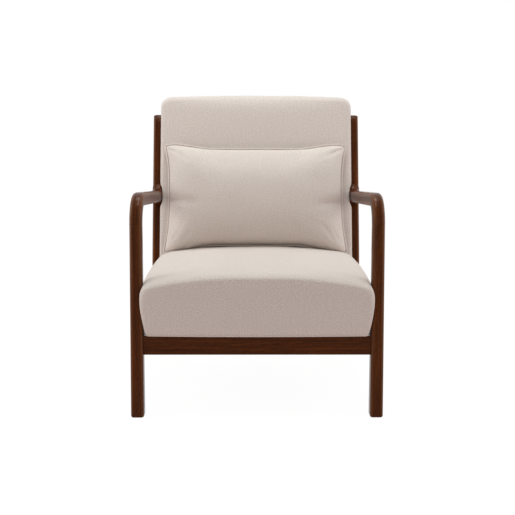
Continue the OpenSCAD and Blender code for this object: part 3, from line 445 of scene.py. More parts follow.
def arm_ring(v, inset=0.0):
    """A ring across the armrest at a run v, which turns and flares to meet the upright's face."""
    d = arm_free - v
    tilt = face_tilt * smooth(1 - d / flare_run)
    y0, z0 = arm_start[0] + v * cos(arm_slope), arm_start[1] - v * sin(arm_slope)
    ring = []
    for x, y, edge in section(arm_t / 2 - inset, arm_h / 2 - inset, arm_edge_r):
        h = -y + (fillet(fillet_top, d) if y < 0 else -fillet(fillet_low, d))
        w = h * tan(tilt)
        ring.append((arm_x + x, y0 + w * cos(arm_slope) + h * sin(arm_slope),
                     z0 - w * sin(arm_slope) + h * cos(arm_slope), x, y,
                     bend_start[1] + bend_r * math.radians(bend_turn) + v, edge))
    return ring


# A rounded end is turned over in quarter-circle steps. The glued joint at the leg's top keeps a
# hairline bevel, and the armrest runs on inside the upright, slimmer by hidden_inset. Rings lie
# closer together where a piece bends or flares
turned_over = [(end_round * (1 - cos(a)), end_round * (1 - sin(a))) for a in spread(0, 90, 6)]
bevel, bevel_run, bevel_turn, hidden_inset = 0.3, 1, 0.7, 1.5
leg_rings = [leg_ring(glide_h + up, inset) for up, inset in turned_over]
leg_rings += [leg_ring(z, 0) for z in spread(40, bend_start[1] - arm_h / 2, 24)]
leg_rings += [bend_ring(leg_lean - bevel_turn, bend_start[1] - bevel_run)]
leg_rings += [bend_ring(leg_lean, bend_start[1], bevel)]
arm_rings = [bend_ring(leg_lean, bend_start[1], bevel)]
arm_rings += [bend_ring(leg_lean + a, bend_start[1] + bend_r * math.radians(a))
              for a in [bevel_turn] + spread(3, bend_turn, 30)]
arm_rings += [arm_ring(v) for v in spread(15, arm_free - flare_run, 14)]
arm_rings += [arm_ring(arm_free - flare_run * (1 - t) ** 1.8) for t in spread(0.06, 1, 26)]
arm_rings += [arm_ring(arm_free + 8), arm_ring(arm_free + 10, hidden_inset)]
arm_rings += [arm_ring(arm_len, hidden_inset)]
rear_rings = [rear_foot_ring(glide_h + up, inset) for up, inset in turned_over]
rear_rings += [rear_ring(s, 0) for s in spread(low_len * 0.2, low_len, 8)]
rear_rings += [rear_ring(s, 0) for s in spread(low_len + 5, low_len + arc_len, 20)]
rear_rings += [rear_ring(s, 0) for s in spread(low_len + arc_len + 20, rear_len - end_round, 18)]
rear_rings += [rear_ring(rear_len - up, inset) for up, inset in reversed(turned_over)]
walnut = stained_walnut("walnut_stained_satin_lacquer")
for side, side_name in ((LEFT, "left"), (RIGHT, "right")):
    for number, (part, rings) in enumerate((
            ("front_leg", leg_rings), ("armrest", arm_rings), ("rear_leg", rear_rings))):
        rings = np.array(rings)
        # Each piece is cut from its own board, so its grain starts at another place, in metres
        board = np.array((0.31 * number + 0.17 * side, 0.23 * number, 1.7 * number + 0.9 * side))
        shaped = ring_piece(f"{side_name}_{part}_wood", rings[:, :, :3], side,
                            {"grain": rings[:, :, 3:6] * MM + board, "edge": rings[:, :, 6]})
        shaped.data.materials.append(walnut)
        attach(shaped, "chair")
        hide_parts(f"{side_name}_{part}")

# RAILS, CLEATS AND BLOCKS. Straight walnut rails from the same boards, dowelled between the legs
# with small rounded edges. The cleats along the side rails and the corner blocks show below the
# seat, so they are stained too. Their CAD solids have the right shape and only take the finish.


def finish_solids(node_names, finish):
    """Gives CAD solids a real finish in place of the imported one."""
    for node_name in node_names:
        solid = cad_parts[node_name].data
        solid.materials.clear()
        solid.materials.append(finish)


across_nodes = ("front_rail", "rear_rail", "corner_blocks")
deep_nodes = ("left_side_rail", "right_side_rail", "left_cleat", "right_cleat")
finish_solids(across_nodes, stained_walnut("walnut_rail_along_x", 0))
finish_solids(deep_nodes, stained_walnut("walnut_rail_along_y", 1))

# SEAT. One tight sewn cover of linen-look upholstery cloth over foam and springs: a crowned
# top that rolls down over the front, with corners that bulge over the legs' inner edges and
# sides that are pressed in where they pass the legs. It is stapled under the seat frame.
rail_z, seat_h, seat_puff, seat_front, seat_bow = 223.0, 181.0, 10.5, 39.0, 7.0
seat_side_fall, seat_front_fall, seat_front_slope = 24.0, 13.0, 12.0
seat_rear_slope, seat_rear_fall, seat_tuck, wall_drop = 8.0, 14.0, 17.0, 9.0
seat_shoulder, seat_corner_r, tuck_front, tuck_rear = 11.5, 5.0, 0.6, 0.2
gap, seat_mid_y, back_seam, row_gap = 0.4, 215.0, 25.0, 7.0
back_low_n = back_seam + 3
seat_w = 2 * (chair_w / 2 - leg_foot_w + seat_puff)
seat_top_z, seat_floor = rail_z + seat_h, rail_z + gap
fit_z = rail_z + 100
# The rear corner turns through these places in x and y, from where side and rear would meet
rear_corner = ((0, -60), (0, -40), (-1, -20), (-3, -9), (-9, -2), (-20, 0))
seat_points = 440


def seat_rear(z):
    """Where the seat's rear meets the back's front panel at a height."""
    return back_at(0, back_s(z, back_low_n), back_low_n + gap)[1]


def seat_top(x, y):
    """Height of the crowned top, which falls to its sides, its rear and its front, and more so
    at the front's corners."""
    a = abs(x) / (seat_w / 2)
    b = max(0, seat_mid_y - y) / (seat_front + seat_bow + seat_mid_y)
    c = max(0, y - seat_mid_y) / (seat_rear(seat_top_z) - seat_mid_y)
    corner = 0.45 + 0.7 * min(1, a) ** 3
    return (seat_top_z - seat_side_fall * a ** 2.4 - corner * seat_front_fall * b ** 14
            - corner * seat_front_slope * b * b - seat_rear_slope * c * c
            - seat_rear_fall * c ** 12)


def seat_wall_z(k, x, y):
    """Height at the share k of the seat's wall."""
    return seat_floor + k * (seat_top(x, y) - wall_drop - seat_floor)


def beside_leg(x, y, z):
    """Presses a point of the seat's side in where it would touch the leg's rounded edges."""
    r = leg_size(z)[2]
    clear = r + gap + 1
    d = max(leg_front(z) + r - y, y - leg_back(z) + r, 0)
    if d >= clear:
        return x
    return min(x, leg_inner(z) + r - math.sqrt(clear * clear - d * d))


def seat_half(k, inset, side_inset, pressed):
    """Right half of the seat's outline, from the front's middle round to the rear's middle, at
    the share k of its wall's height. Pressed, it gives way to the front leg."""
    half_w, front = seat_w / 2 - side_inset, -seat_front + inset * tuck_front
    front_z = seat_wall_z(k, side_x, leg_front(fit_z))
    rear_z = seat_wall_z(k, side_x, leg_back(fit_z))
    leg_from, leg_to = leg_front(front_z), leg_back(rear_z)
    r, far = max(seat_corner_r, leg_from - 3 - front), half_w - 2

    def rear_y(x):
        return seat_rear(seat_wall_z(k, x, seat_rear(seat_top_z))) - inset * tuck_rear

    half = [(t * (half_w - r), front - seat_bow * (1 - t * t)) for t in spread(0, 0.96, 13)]
    half += [(half_w - r + r * cos(a), front + r + r * sin(a)) for a in spread(-80, 0, 9)]
    half += [(half_w, y) for y in spread(front + r + 2, leg_to, 9)]
    half += [(half_w - 3 if pressed else half_w, leg_to + 8)]
    half += [(half_w, leg_to + y) for y in spread(26, 310, 18)]
    if pressed:
        leg_mid = (leg_from + leg_to) / 2
        half = [(beside_leg(x, y, front_z if y < leg_mid else rear_z), y) for x, y in half]
    half += [(far + dx, rear_y(far) + dy) for dx, dy in rear_corner]
    half += [(t * far, rear_y(t * far)) for t in spread(0.85, 0, 10)]
    return half


def even_loop(half, count):
    """A closed loop from its right half: evenly spaced points, with its corners eased twice."""
    loop = np.array(list(half) + [(-x, y) for x, y in half[-2:0:-1]])
    closed = np.vstack([loop, loop[:1]])
    run = np.concatenate([[0], np.cumsum(np.linalg.norm(np.diff(closed, axis=0), axis=1))])
    at = np.linspace(0, run[-1], count, endpoint=False)
    loop = np.stack([np.interp(at, run, closed[:, k]) for k in (0, 1)], axis=1)
    for _ in range(2):
        loop = (np.roll(loop, 1, 0) + 2 * loop + np.roll(loop, -1, 0)) / 4
    return loop


def rows_between(rings, spacing):
    """Adds smooth rows between rings, so that none are further apart than spacing."""
    rings = np.array(rings, float)
    steps = np.linalg.norm(np.diff(rings, axis=0), axis=2).mean(1)
    before = np.concatenate([[steps[0]], steps])[:, None, None]
    after = np.concatenate([steps, [steps[-1]]])[:, None, None]
    slopes = np.diff(rings, axis=0) / steps[:, None, None]
    low, high = np.concatenate([slopes[:1], slopes]), np.concatenate([slopes, slopes[-1:]])
    tangents = (low * after + high * before) / (before + after)
    rows = []
    for i, step in enumerate(steps):
        for t in np.arange(0, 1, 1 / max(1, math.ceil(step / spacing))):
            leave, arrive = (t ** 3 - 2 * t * t + t) * step, (t ** 3 - t * t) * step
            rows.append((2 * t ** 3 - 3 * t * t + 1) * rings[i] + leave * tangents[i]
                        + (3 * t * t - 2 * t ** 3) * rings[i + 1] + arrive * tangents[i + 1])
    return np.array(rows + [rings[-1]])


def woven_linen(name):
    """Linen-look polyester: a plain weave of uneven yarn in a pale oatmeal, with slubs, a faint
    mottle where light and dark fibres mix, and a matt surface with a little sheen at grazing
    light. Threads are 1.5 mm apart, about twice the real cloth's, so that the weave shows. They
    wander over 9 mm, slubs are 2.2 mm by 45 mm, and the mottle is 3.3 mm wide."""
    thread, wander_w = 1.5 * MM, 9 * MM
    slub_w, slub_l, mottle = 2.2 * MM, 45 * MM, 3.3 * MM
    material, tree = new_material(name)
    cloth = add_node(tree, "ShaderNodeUVMap", uv_map="cloth").outputs[0]
    wander = add_node(tree, "ShaderNodeTexNoise", inputs={
        "Vector": cloth, "Scale": 1 / wander_w, "Detail": 1.0}).outputs["Color"]
    shift = add_node(tree, "ShaderNodeVectorMath", operation="SCALE", inputs={
        0: wander, "Scale": thread * 0.9}).outputs[0]
    uneven = add_node(tree, "ShaderNodeVectorMath", operation="ADD", inputs={
        0: cloth, 1: shift}).outputs[0]
    turns = add_node(tree, "ShaderNodeVectorMath", operation="SCALE", inputs={
        0: uneven, "Scale": math.pi / thread}).outputs[0]
    waves = add_node(tree, "ShaderNodeVectorMath", operation="SINE", inputs={0: turns}).outputs[0]
    warp_weft = add_node(tree, "ShaderNodeSeparateXYZ", inputs={0: waves}).outputs
    crossings = add_node(tree, "ShaderNodeMath", operation="MULTIPLY", inputs={
        0: warp_weft[0], 1: warp_weft[1]}).outputs[0]
    slubs = stretched_noise(tree, cloth, (slub_w, slub_l, 1), Detail=2.0)
    fibres = add_node(tree, "ShaderNodeTexNoise", inputs={
        "Vector": cloth, "Scale": 1 / mottle, "Detail": 3.0, "Roughness": 0.7}).outputs["Fac"]
    tone = add_node(tree, "ShaderNodeMath", operation="MULTIPLY_ADD", inputs={
        0: slubs, 1: 0.15, 2: fibres}).outputs[0]
    tone = add_node(tree, "ShaderNodeMath", operation="MULTIPLY_ADD", inputs={
        0: crossings, 1: 0.05, 2: tone}).outputs[0]
    yarn = add_node(tree, "ShaderNodeValToRGB", inputs={"Fac": tone}, stops=[
        (0.38, "#cabdb4"), (0.58, "#ddd1c8"), (0.78, "#eee3dc")]).outputs["Color"]
    height = add_node(tree, "ShaderNodeMath", operation="MULTIPLY_ADD", inputs={
        0: slubs, 1: 0.5, 2: crossings}).outputs[0]
    weave = add_node(tree, "ShaderNodeBump", inputs={
        "Height": height, "Strength": 0.35, "Distance": 0.35 * MM}).outputs[0]
    fabric = add_node(tree, "ShaderNodeBsdfPrincipled", inputs={
        "Base Color": yarn, "Roughness": 0.92, "Specular IOR Level": 0.25, "Normal": weave,
        "Sheen Weight": 0.18, "Sheen Roughness": 0.5})
    add_node(tree, "ShaderNodeOutputMaterial", inputs={"Surface": fabric.outputs[0]})
    return material


def lay_cloth(piece, place):
    """Gives each face corner its place in the flat cloth, in metres. The place, in mm, is a
    function of a point and its face's normal, in the chair's own frame."""
    mesh = piece.data
    cloth = mesh.uv_layers.new(name="cloth").data
    points = [Vector((v.co.x / MM, v.co.y / MM + mid_y, v.co.z / MM)) for v in mesh.vertices]
    for face in mesh.polygons:
        for loop, vertex in zip(face.loop_indices, face.vertices):
            across, along = place(points[vertex], face.normal)
            cloth[loop].uv = (across * MM, along * MM)


def turned_edge(up, back, r):
    """Distance along cloth that climbs a face, turns an edge of radius r and runs on behind."""
    if up <= 0:
        return up
    return r * (math.pi / 2) + back if back >= 0 else r * math.atan2(up, -back)


# A face that turns sideways by more than this belongs to a side panel. The cloth turns over
# the seat's front on this radius, from this far below its crown and at this y
side_facing, seat_roll_r, seat_roll_down, seat_roll_y = 0.72, 40.0, 64.0, -6.0


def seat_cloth(point, normal):
    """The front and top are one run of cloth over the front roll, and each side is a panel."""
    if abs(normal.x) > side_facing:
        return point.y, point.z
    climbed = point.z - rail_z - seat_h + seat_roll_down
    return point.x, turned_edge(climbed, point.y - seat_roll_y, seat_roll_r)


def sculpt(piece, push):
    """Moves each point along its normal by push(point in mm, in the chair's own frame)."""
    mesh = piece.data
    moved = []
    for vertex in mesh.vertices:
        x, y, z = vertex.co / MM
        moved.append(vertex.co + vertex.normal * push(Vector((x, y + mid_y, z))) * MM)
    for vertex, place in zip(mesh.vertices, moved):
        vertex.co = place
    mesh.update()


def crease(point, path, width, depth):
    """Push of a soft fold that runs along a path, deepest midway and faded at its ends."""
    best = 0.0
    spans = len(path) - 1
    for i in range(spans):
        a, b = Vector(path[i]), Vector(path[i + 1])
        t = min(1.0, max(0.0, (point - a).dot(b - a) / (b - a).length_squared))
        d = (point - a.lerp(b, t)).length
        along = (i + t) / spans
        if d < 3 * width:
            fade = sin(180 * min(1, along * 0.9 + 0.08))
            best = max(best, math.exp(-(d / width) ** 2) * fade)
    return -depth * best


def seat_ring(k, inset, side_inset):
    """A ring round the seat's wall."""
    ring = []
    for x, y in even_loop(seat_half(k, inset, side_inset, True), seat_points):
        z = seat_wall_z(k, x, y)
        ring.append((math.copysign(1, x) * beside_leg(abs(x), y, z), y, z))
    return ring


def seat_crown(t):
    """A ring on the seat's top, at the share t of the way from its middle to its edge."""
    ring = []
    for x, y in even_loop(seat_half(1, seat_tuck * top_tuck, seat_shoulder, False), seat_points):
        x, y = x * t, seat_mid_y + (y - seat_mid_y) * t
        x = math.copysign(beside_leg(abs(x), y, seat_top(x, y)), x)
        ring.append((x, y, seat_top(x, y) - wall_drop * t ** 24))
    return ring


# Each row up the wall has its share of the height, its share of the tuck at front and rear, and
# how far the sides are drawn in: a turned-in foot, a hem's groove, a swell and the top's edge
top_tuck = 0.12
seat_rows = ((0, 1.25, 19), (0.008, 1.0, 16.5), (0.03, 0.88, 15.8), (0.038, 0.98, 17),
             (0.046, 0.84, 15.2), (0.08, 0.8, 14.0), (0.2, 0.58, 10.5), (0.35, 0.45, 6.5),
             (0.5, 0.36, 3), (0.66, 0.26, 0.4), (0.78, 0.12, 0), (0.87, 0.02, 1), (0.95, 0.04, 5),
             (1, top_tuck, 11))
seat_crown_rows = (0.975, 0.95, 0.93, 0.9, 0.86, 0.8, 0.7, 0.6, 0.45, 0.3, 0.15, 0.05)
seat_rings = [seat_ring(k, seat_tuck * tuck, side_tuck) for k, tuck, side_tuck in seat_rows]
seat_rings += [seat_crown(t) for t in seat_crown_rows]
seat = ring_piece("seat_cushion", rows_between(seat_rings, row_gap))
corner_fold = ((-304, 76, 370), (-298, 79, 380), (-282, 86, 390), (-258, 118, 395))


def seat_push(p):
    """Slack in the seat's cover, in swells 95 mm and 31 mm wide, and a fold that the pull at the
    left front corner leaves, 5 mm wide and 2.6 mm deep."""
    swell = 0.9 * noise.noise(p / 95) + 0.35 * noise.noise(p / 31)
    on_top = smooth((p.z - seat_floor - 8) / 60)
    return swell * on_top + crease(p, corner_fold, 5, 2.6)


sculpt(seat, seat_push)
lay_cloth(seat, seat_cloth)
linen = woven_linen("linen_look_plain_weave")
seat.data.materials.append(linen)
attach(seat, "chair")
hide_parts("seat_cover", "seat_foam", "seat_felt")

# BACK. A padded frame in the same cloth, hung between the uprights: a flat rear, sides that
# puff over the uprights' fronts, a seam round the front panel and a gently swollen front.
back_behind, back_crown, back_corner_r, back_z, back_roll = 44.0, 20.0, 29.0, 875.0, 12.0
back_clear, back_puff, back_lift, top_rise, low_r = 1.0, 10.0, 12.0, 7.0, 12.0
back_points = 480
back_w = 2 * (rear_inner - back_clear)
back_puff_w = back_w + 2 * back_puff
back_top = back_s(back_z, -4)
back_low = back_s(rail_z + back_lift, -back_behind) + 1
back_mid_s = (back_top + back_low) / 2


def back_half_outline(half_w, n, low_in, top_in):
    """Right half of the back's outline, n in front of the uprights, pressed in where it passes
    the armrest's flare. Its lower and upper edges are drawn in by low_in and top_in."""
    low_s, top_s, r = back_low + low_in, back_top - top_in, back_corner_r
    narrow = min(half_w, arm_x - arm_t / 2 - back_clear)
    over, under = (arm_h / 2 + fillet(rise, n) + 4 for rise in (fillet_top, fillet_low))
    half = [(t * half_w, low_s) for t in spread(0, 0.9, 9)]
    half += [(half_w - low_r + low_r * cos(a), low_s + low_r + low_r * sin(a))
             for a in spread(-90, 0, 6)]
    half += [(half_w, s) for s in spread(low_s + 3 * low_r, arm_s - under - 9, 12)]
    half += [(narrow, arm_s - under), (narrow, arm_s), (narrow, arm_s + over)]
    half += [(half_w, s) for s in spread(arm_s + over + 9, top_s - top_rise - 2 * r, 12)]
    half += [(half_w - r + r * cos(a), top_s - top_rise - r + r * sin(a))
             for a in spread(0, 90, 9)]
    half += [(t * half_w, top_s - top_rise * t * t) for t in spread(0.9, 0, 9)]
    return half


def back_front(x, s):
    """How far the front panel stands out: it swells in its middle and sinks to its edges."""
    a = abs(x) / (back_puff_w / 2)
    b = max(0, (s - back_mid_s) / (back_top - back_roll - back_mid_s))
    return back_low_n + back_crown * (1 - a ** 2.6) * smooth((s - 35) / 130) * (1 - b ** 16)


# Each row has its place out of the uprights, its width, and how far its lower and upper edges
# are drawn in: the rear panel, its seam, the boxed side that puffs out, and the front's seam
rear_seam = 5 - back_behind
back_rows = ((-back_behind, back_w - 14, 7, 10), (0.8 - back_behind, back_w - 6, 3, 6),
             (rear_seam - 2, back_w - 1, 0.5, 3.5), (rear_seam - 1, back_w - 1, 0.5, 3.2),
             (rear_seam, back_w - 5, 2.5, 5), (rear_seam + 1, back_w, 0, 2.6),
             (rear_seam + 3, back_w, 0, 2), (-4, back_w, 0, 0),
             (3.5, back_w + back_puff - 1, 0, 0.5), (back_seam * 0.5, back_puff_w, 0, 2.5),
             (back_seam * 0.8, back_puff_w - 1, 2, 6), (back_seam - 2, back_puff_w - 3, 2.6, 8),
             (back_seam - 1, back_puff_w - 4.5, 3, 8.8), (back_seam, back_puff_w - 10, 5.5, 9.8),
             (back_seam + 1, back_puff_w - 7, 4, 10.8))
back_front_rows = (0.985, 0.965, 0.93, 0.9, 0.85, 0.8, 0.72, 0.6, 0.45, 0.3, 0.15, 0.05)
back_rings = []
for n, width, low_in, top_in in back_rows:
    loop = even_loop(back_half_outline(width / 2, n, low_in, top_in), back_points)
    back_rings.append([back_at(x, s, n) for x, s in loop])
front_half = back_half_outline(back_puff_w / 2 - 4, back_low_n, 4, back_roll + 2)
for t in back_front_rows:
    loop = [(x * t, back_mid_s + (s - back_mid_s) * t) for x, s in even_loop(front_half, back_points)]
    back_rings.append([back_at(x, s, back_front(x, s)) for x, s in loop])
back = ring_piece("back_cushion", rows_between(back_rings, row_gap))
# A pucker's path has an x, a distance below the back's top, and a distance out of the uprights
pucker_path = ((300, 46, 24), (292, 30, 27))


def back_push(p):
    """Slack in the back's cover, in swells 110 mm and 36 mm wide, with small puckers where the
    seam turns the top corners, 4 mm wide and 2.4 mm deep."""
    swell = 0.8 * noise.noise(p / 110) + 0.3 * noise.noise(p / 36)
    swell *= smooth((arm_x - arm_t / 2 - abs(p.x)) / 12)
    pucker = sum(crease(p, [back_at(side * x, back_top - down, n) for x, down, n in pucker_path],
                        4, 2.4) for side in (LEFT, RIGHT))
    return swell + pucker


def along_back(point):
    """How far a point lies up the uprights' front line, and how far out of it."""
    y, z = point.y - base_y, point.z - base_z
    return y * sin(back_lean) + z * cos(back_lean), z * sin(back_lean) - y * cos(back_lean)


# The cloth turns over the back's top on this radius, from this far below it, and a face that
# turns backwards by more than rear_facing belongs to the rear panel
back_edge_r, back_edge_down, rear_facing = 14.0, 20.0, 0.6


def back_cloth(point, normal):
    """The front and top are one run of cloth over the top edge, and the sides and the rear are
    panels."""
    s, n = along_back(point)
    if abs(normal.x) > side_facing:
        return n, s
    if normal.y > rear_facing:
        return point.x, s
    return point.x, turned_edge(s - back_top + back_edge_down, back_edge_r - n, back_edge_r)


sculpt(back, back_push)
lay_cloth(back, back_cloth)
back.data.materials.append(linen)
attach(back, "chair")
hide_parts("back_cover", "back_foam")

# LUMBAR PILLOW. A loose knife-edge pillow in the same cloth, polyester filled, its edge
# finished with a self-covered welt. It stands on the seat and leans on the back.
pillow_clear, pillow_h, pillow_x = 2.0, 366.0, -2.0
pillow_in_x, pillow_in_top, pillow_in_low = 21.0, 19.0, 26.0
pillow_front, pillow_rear, pillow_end_lean, welt_d = 80.0, 22.0, 24.0, 6.0
pillow_corner_ease, pillow_sag = 7.0, 0.16
pillow_w = 2 * (arm_x - arm_t / 2 - pillow_clear - abs(pillow_x))
pillow_n = back_low_n + back_crown + pillow_rear - gap
pillow_rest = seat_top(0, back_at(0, back_s(seat_top_z, pillow_n), pillow_n)[1])
pillow_s = back_s(pillow_rest, pillow_n) + pillow_h / 2 - pillow_in_low


def pillow_edge(u, v, inset):
    """Place x, s from the pillow's middle for u and v that run from -1 to 1, on an outline inset
    from the welt's outside. Its edges draw in between soft corners."""
    fall = pillow_in_top if v > 0 else pillow_in_low
    soft_corner = pillow_corner_ease * abs(u) ** 26 * abs(v) ** 16
    waist = pillow_in_x * (1 - abs(v) ** (4 if v > 0 else 2.6))
    return (u * (pillow_w / 2 - inset - soft_corner - waist),
            v * (pillow_h / 2 - inset - soft_corner - fall * (1 - smooth((abs(u) - 0.42) / 0.5))))


def pillow_lean(u, v):
    """How far the pillow's ends and corners lie back towards the cushion behind them."""
    return pillow_end_lean * abs(u) ** 3 * (0.4 + 0.6 * v * v)


def pillow_loop(count):
    """Places round the square of u and v, from the lower middle, closer together at corners."""
    even = spread(-1, 1, count // 4 + 1)[:-1]
    eased = [math.copysign(1 - (1 - abs(t)) ** 1.25, t) for t in even]
    sides = [(u, -1) for u in eased] + [(1, v) for v in eased]
    sides += [(-u, 1) for u in eased] + [(-1, -v) for v in eased]
    start = len(eased) // 2
    return sides[start:] + sides[:start]


def plump(u, v):
    """Swell of the filling, from 0 at the seam to 1: full corners, and a belly that has sunk."""
    v += pillow_sag * (1 - v * v)
    belly = (2.7 if v > 0 else 2.4) + 3 * abs(u) ** 4
    return (1 - abs(u) ** 7) ** 0.45 * (1 - abs(v) ** belly) ** 0.45


def toward_edges(count):
    """Places from -1 to 1 that close up towards the seam, where the panel turns in steeply."""
    arc = 83
    return [sin(arc * t) / sin(arc) for t in spread(-1, 1, count)]


seam_inset = welt_d + gap
across, up = 121, 67
pillow_us, pillow_vs = toward_edges(across), toward_edges(up)


def pillow_panel(swell, spare=1.0):
    """One panel of the pillow's cover, as points in mm, with its cloth spare times as large."""
    panel = []
    for v in pillow_vs:
        for u in pillow_us:
            x, s = pillow_edge(u, v, seam_inset)
            panel.append(back_at(pillow_x + x * spare, pillow_s + s * spare,
                                 pillow_n - pillow_lean(u, v) + swell * spare * plump(u, v)))
    return panel


def pillow_body(name, front_points, rear_points):
    """Front and rear panels sewn round their edges into one closed cover. Also gives the points
    of the seam and the rear, and which of the rear panel's points are its own."""
    count = across * up
    sewn, rear_of, rear_kept = [], {}, []
    for k in range(count):
        if k % across in (0, across - 1) or k // across in (0, up - 1):
            sewn.append(k)
            rear_of[k] = k
        else:
            rear_of[k] = count + len(rear_kept)
            rear_kept.append(k)
    quads = [(k, k + 1, k + across + 1, k + across)
             for k in range(count - across) if k % across < across - 1]
    faces = quads + [tuple(rear_of[k] for k in quad[::-1]) for quad in quads]
    points = list(front_points) + [rear_points[k] for k in rear_kept]
    return mesh_piece(name, points, faces), sewn + list(range(count, len(points))), rear_kept


# The front panel starts at this share of its swell, with cloth cut this much larger, and the
# filling carries no point further than the cap in mm
pillow_full, pillow_spare, pillow_cap = 0.94, 1.07, 11.0
filling_pressure, filling_frames = 4.0, 24
rear_panel = pillow_panel(-pillow_rear)
pillow, held, rear_kept = pillow_body(
    "lumbar_pillow", pillow_panel(pillow_front * pillow_full), rear_panel)


def fill_cover(piece, held, cut, pressure, frames):
    """Fills a cover as stuffing does: cloth cut as large as the cut shape is blown out while the
    held points stay sewn. Returns where each point was and how far it moved."""
    start = np.array([vertex.co for vertex in piece.data.vertices])
    piece.shape_key_add(name="sewn")
    cut_shape = piece.shape_key_add(name="cut")
    cut_shape.data.foreach_set("co", np.array(cut, np.float32).ravel())
    piece.vertex_groups.new(name="held").add(held, 1.0, "REPLACE")
    filling = piece.modifiers.new("filling", "CLOTH")
    cloth = filling.settings
    cloth.vertex_group_mass = "held"
    cloth.rest_shape_key = cut_shape
    cloth.use_pressure = True
    cloth.uniform_pressure_force = pressure
    cloth.effector_weights.gravity = 0
    cloth.quality = 6
    cloth.bending_stiffness = 0.1
    filling.point_cache.frame_end = frames
    for number in range(1, frames + 1):
        scene.frame_set(number)
    shaped = piece.evaluated_get(bpy.context.evaluated_depsgraph_get()).to_mesh()
    moved = np.array([vertex.co for vertex in shaped.vertices]) - start
    piece.modifiers.remove(filling)
    piece.shape_key_clear()
    piece.vertex_groups.clear()
    scene.frame_set(1)
    return start, moved


cut = pillow_panel(pillow_front * pillow_full, pillow_spare)
cut = np.array(cut + [rear_panel[k] for k in rear_kept]) * MM
cut[:, 1] -= mid_y * MM
start, moved = fill_cover(pillow, held, cut, filling_pressure, filling_frames)
far = np.linalg.norm(moved, axis=1, keepdims=True) / (pillow_cap * MM)
moved *= np.tanh(far) / np.maximum(far, 1e-6)
pillow.data.vertices.foreach_set("co", (start + moved).astype(np.float32).ravel())


# A fold sinks in from the middle of each short side, 12 mm wide and 9 mm deep
fold_path, fold_heights = ((290, 0), (245, 9), (185, 26)), ((LEFT, -3), (RIGHT, -10))
dent_start = Vector((3.1, 0, 0))


def pillow_push(p):
    """Dents in the filling, 70 mm and 24 mm wide, a fold in from each short side, and puckers
    beside the seam, 8 mm wide. The rear, which stands less than 2 mm out, has none."""
    s, n = along_back(p)
    u = min(1, abs(p.x - pillow_x) / (pillow_w / 2))
    v = min(1, abs(s - pillow_s) / (pillow_h / 2))
    stand = n - pillow_n + pillow_lean(u, v)
    if stand < 2:
        return 0
    flat = Vector((p.x, s, 0))
    folds = sum(crease(flat, [(side * x, pillow_s + high - down, 0) for x, down in fold_path],
                       12, 9) for side, high in fold_heights)
    swell = 1.6 * noise.noise(p / 70 + dent_start) + 0.4 * noise.noise(p / 24)
    puckers = 1.1 * noise.noise(flat / 8) * math.exp(-((stand - 16) / 12) ** 2)
    return (swell + folds) * smooth((stand - 4) / 20) + puckers


sculpt(pillow, pillow_push)


def arc_lengths(points):
    """Distance along a line of points, from its middle."""
    steps = np.linalg.norm(np.diff(np.array(points), axis=0), axis=1)
    run = np.concatenate([[0], np.cumsum(steps)])
    return run - run[len(run) // 2]


# The cloth lies along the panel's own curve, and the rear panel repeats the front's places
flat_front = pillow_panel(pillow_front)
run_across = arc_lengths(flat_front[across * (up // 2):across * (up // 2 + 1)])
run_up = arc_lengths(flat_front[across // 2::across])
pillow_places = [(run_across[k % across], run_up[k // across])
                 for k in list(range(across * up)) + rear_kept]
pillow_cloth = pillow.data.uv_layers.new(name="cloth").data
for corner in pillow.data.loops:
    pillow_cloth[corner.index].uv = [d * MM for d in pillow_places[corner.vertex_index]]
pillow.data.materials.append(linen)
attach(pillow, "pillow")
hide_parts("pillow_cover", "pillow_insert")

# The welt is a cord wrapped in the same cloth and sewn into the pillow's seam all round
welt_steps, welt_sides = 360, 12
welt_line = []
for u, v in pillow_loop(welt_steps):
    x, s = pillow_edge(u, v, welt_d / 2)
    welt_line.append(Vector(back_at(pillow_x + x, pillow_s + s, pillow_n - pillow_lean(u, v))))
outward = Vector(back_at(0, 0, 1)) - Vector(back_at(0, 0, 0))
welt_points, welt_faces = [], []
for i, middle in enumerate(welt_line):
    ahead = (welt_line[(i + 1) % welt_steps] - welt_line[i - 1]).normalized()
    aside = ahead.cross(outward)
    here, there = i * welt_sides, (i + 1) % welt_steps * welt_sides
    for j in range(welt_sides):
        a, k = 360 * j / welt_sides, (j + 1) % welt_sides
        welt_points.append(middle + (aside * cos(a) + outward * sin(a)) * welt_d / 2)
        welt_faces.append((here + j, there + j, there + k, here + k))
welt = mesh_piece("pillow_welt_cloth", welt_points, welt_faces)
lay_cloth(welt, lambda point, normal: (point.x, point.z / cos(back_lean)))
welt.data.materials.append(linen)
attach(welt, "pillow")
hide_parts("pillow_welt")

# HIDDEN JOINERY AND SPRINGING. What the cloth and the rails hide keeps its CAD shape and takes
# the finish of its real material.


def bare_wood(name, pale, dark, along):
    """Planed poplar or beech, left bare under the cloth: pale, dry and lightly streaked. Growth
    rings show as streaks about 5 mm wide and 160 mm long."""
    streak_w, streak_l = 5 * MM, 160 * MM
    material, tree = new_material(name)
    where = add_node(tree, "ShaderNodeTexCoord").outputs["Object"]
    sizes = [streak_w] * 3
    sizes[along] = streak_l
    streaks = stretched_noise(tree, where, sizes, Detail=4.0, Distortion=0.5)
    colour = add_node(tree, "ShaderNodeValToRGB", inputs={"Fac": streaks}, stops=[
        (0.35, dark), (0.65, pale)]).outputs["Color"]
    fuzz = add_node(tree, "ShaderNodeBump", inputs={
        "Height": streaks, "Strength": 0.2, "Distance": 0.3 * MM}).outputs[0]
    wood = add_node(tree, "ShaderNodeBsdfPrincipled", inputs={
        "Base Color": colour, "Roughness": 0.72, "IOR": 1.5, "Normal": fuzz})
    add_node(tree, "ShaderNodeOutputMaterial", inputs={"Surface": wood.outputs[0]})
    return material


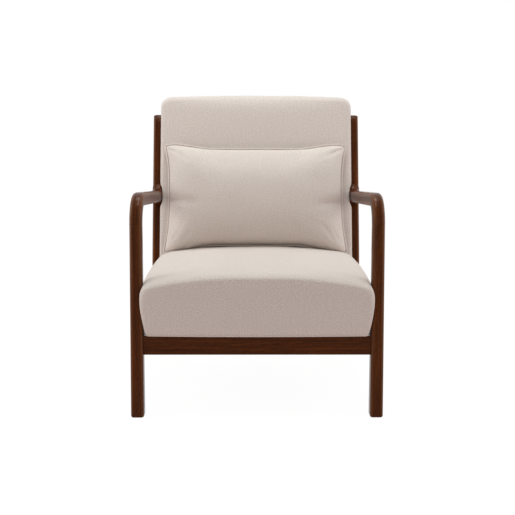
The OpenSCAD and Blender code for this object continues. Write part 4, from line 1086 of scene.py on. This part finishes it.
def speckled(name, low, high, grain_mm, roughness, metallic=0.0, height_mm=0.05):
    """A fine-grained finish: plated steel, moulded nylon, spunbond cloth or woven webbing. Its
    grain is drawn coarser than real, so that it shows up close."""
    material, tree = new_material(name)
    where = add_node(tree, "ShaderNodeTexCoord").outputs["Object"]
    grain = add_node(tree, "ShaderNodeTexNoise", inputs={
        "Vector": where, "Scale": 1 / (grain_mm * MM), "Detail": 3.0}).outputs["Fac"]
    colour = add_node(tree, "ShaderNodeValToRGB", inputs={"Fac": grain}, stops=[
        (0.35, low), (0.65, high)]).outputs["Color"]
    relief = add_node(tree, "ShaderNodeBump", inputs={
        "Height": grain, "Strength": 0.4, "Distance": height_mm * MM}).outputs[0]
    surface = add_node(tree, "ShaderNodeBsdfPrincipled", inputs={
        "Base Color": colour, "Roughness": roughness, "Metallic": metallic, "Normal": relief})
    add_node(tree, "ShaderNodeOutputMaterial", inputs={"Surface": surface.outputs[0]})
    return material


zinc = speckled("steel_zinc_plated", "#9ea2a4", "#c4c8ca", 1.2, 0.34, 1.0)
spring_steel = speckled("spring_steel_oil_tempered", "#2e3033", "#4a4d50", 2.0, 0.42, 1.0)
nylon = speckled("nylon_moulded_brown", "#1d1410", "#2a1f19", 0.8, 0.5)
spunbond = speckled("polypropylene_spunbond_black", "#141416", "#26262a", 1.6, 0.9, height_mm=0.2)
webbing = speckled("webbing_elastic_woven", "#1b1b1e", "#34343a", 1.4, 0.85, height_mm=0.3)
zip_tape = speckled("zip_tape_woven", "#b9ab9e", "#cfc3b8", 1.0, 0.85, height_mm=0.15)
poplar = [bare_wood(f"poplar_planed_along_{axis}", "#dcc59c", "#c2a475", number)
          for number, axis in enumerate("xyz")]
beech = bare_wood("beech_dowel_fluted", "#d8b083", "#bd8f60", 0)
finish_solids(("seat_frame_ends", "back_frame_rails"), poplar[0])
finish_solids(("seat_frame_sides",), poplar[1])
finish_solids(("back_frame_stiles",), poplar[2])
finish_solids(("rail_dowels", "arm_dowels"), beech)
finish_solids(("block_screws", "cleat_screws", "seat_screws", "back_pins"), zinc)
finish_solids(("seat_springs", "spring_clips"), spring_steel)
finish_solids(("foot_glides",), nylon)
finish_solids(("seat_dust_cover",), spunbond)
finish_solids(("back_webbing",), webbing)
finish_solids(("pillow_zipper",), zip_tape)
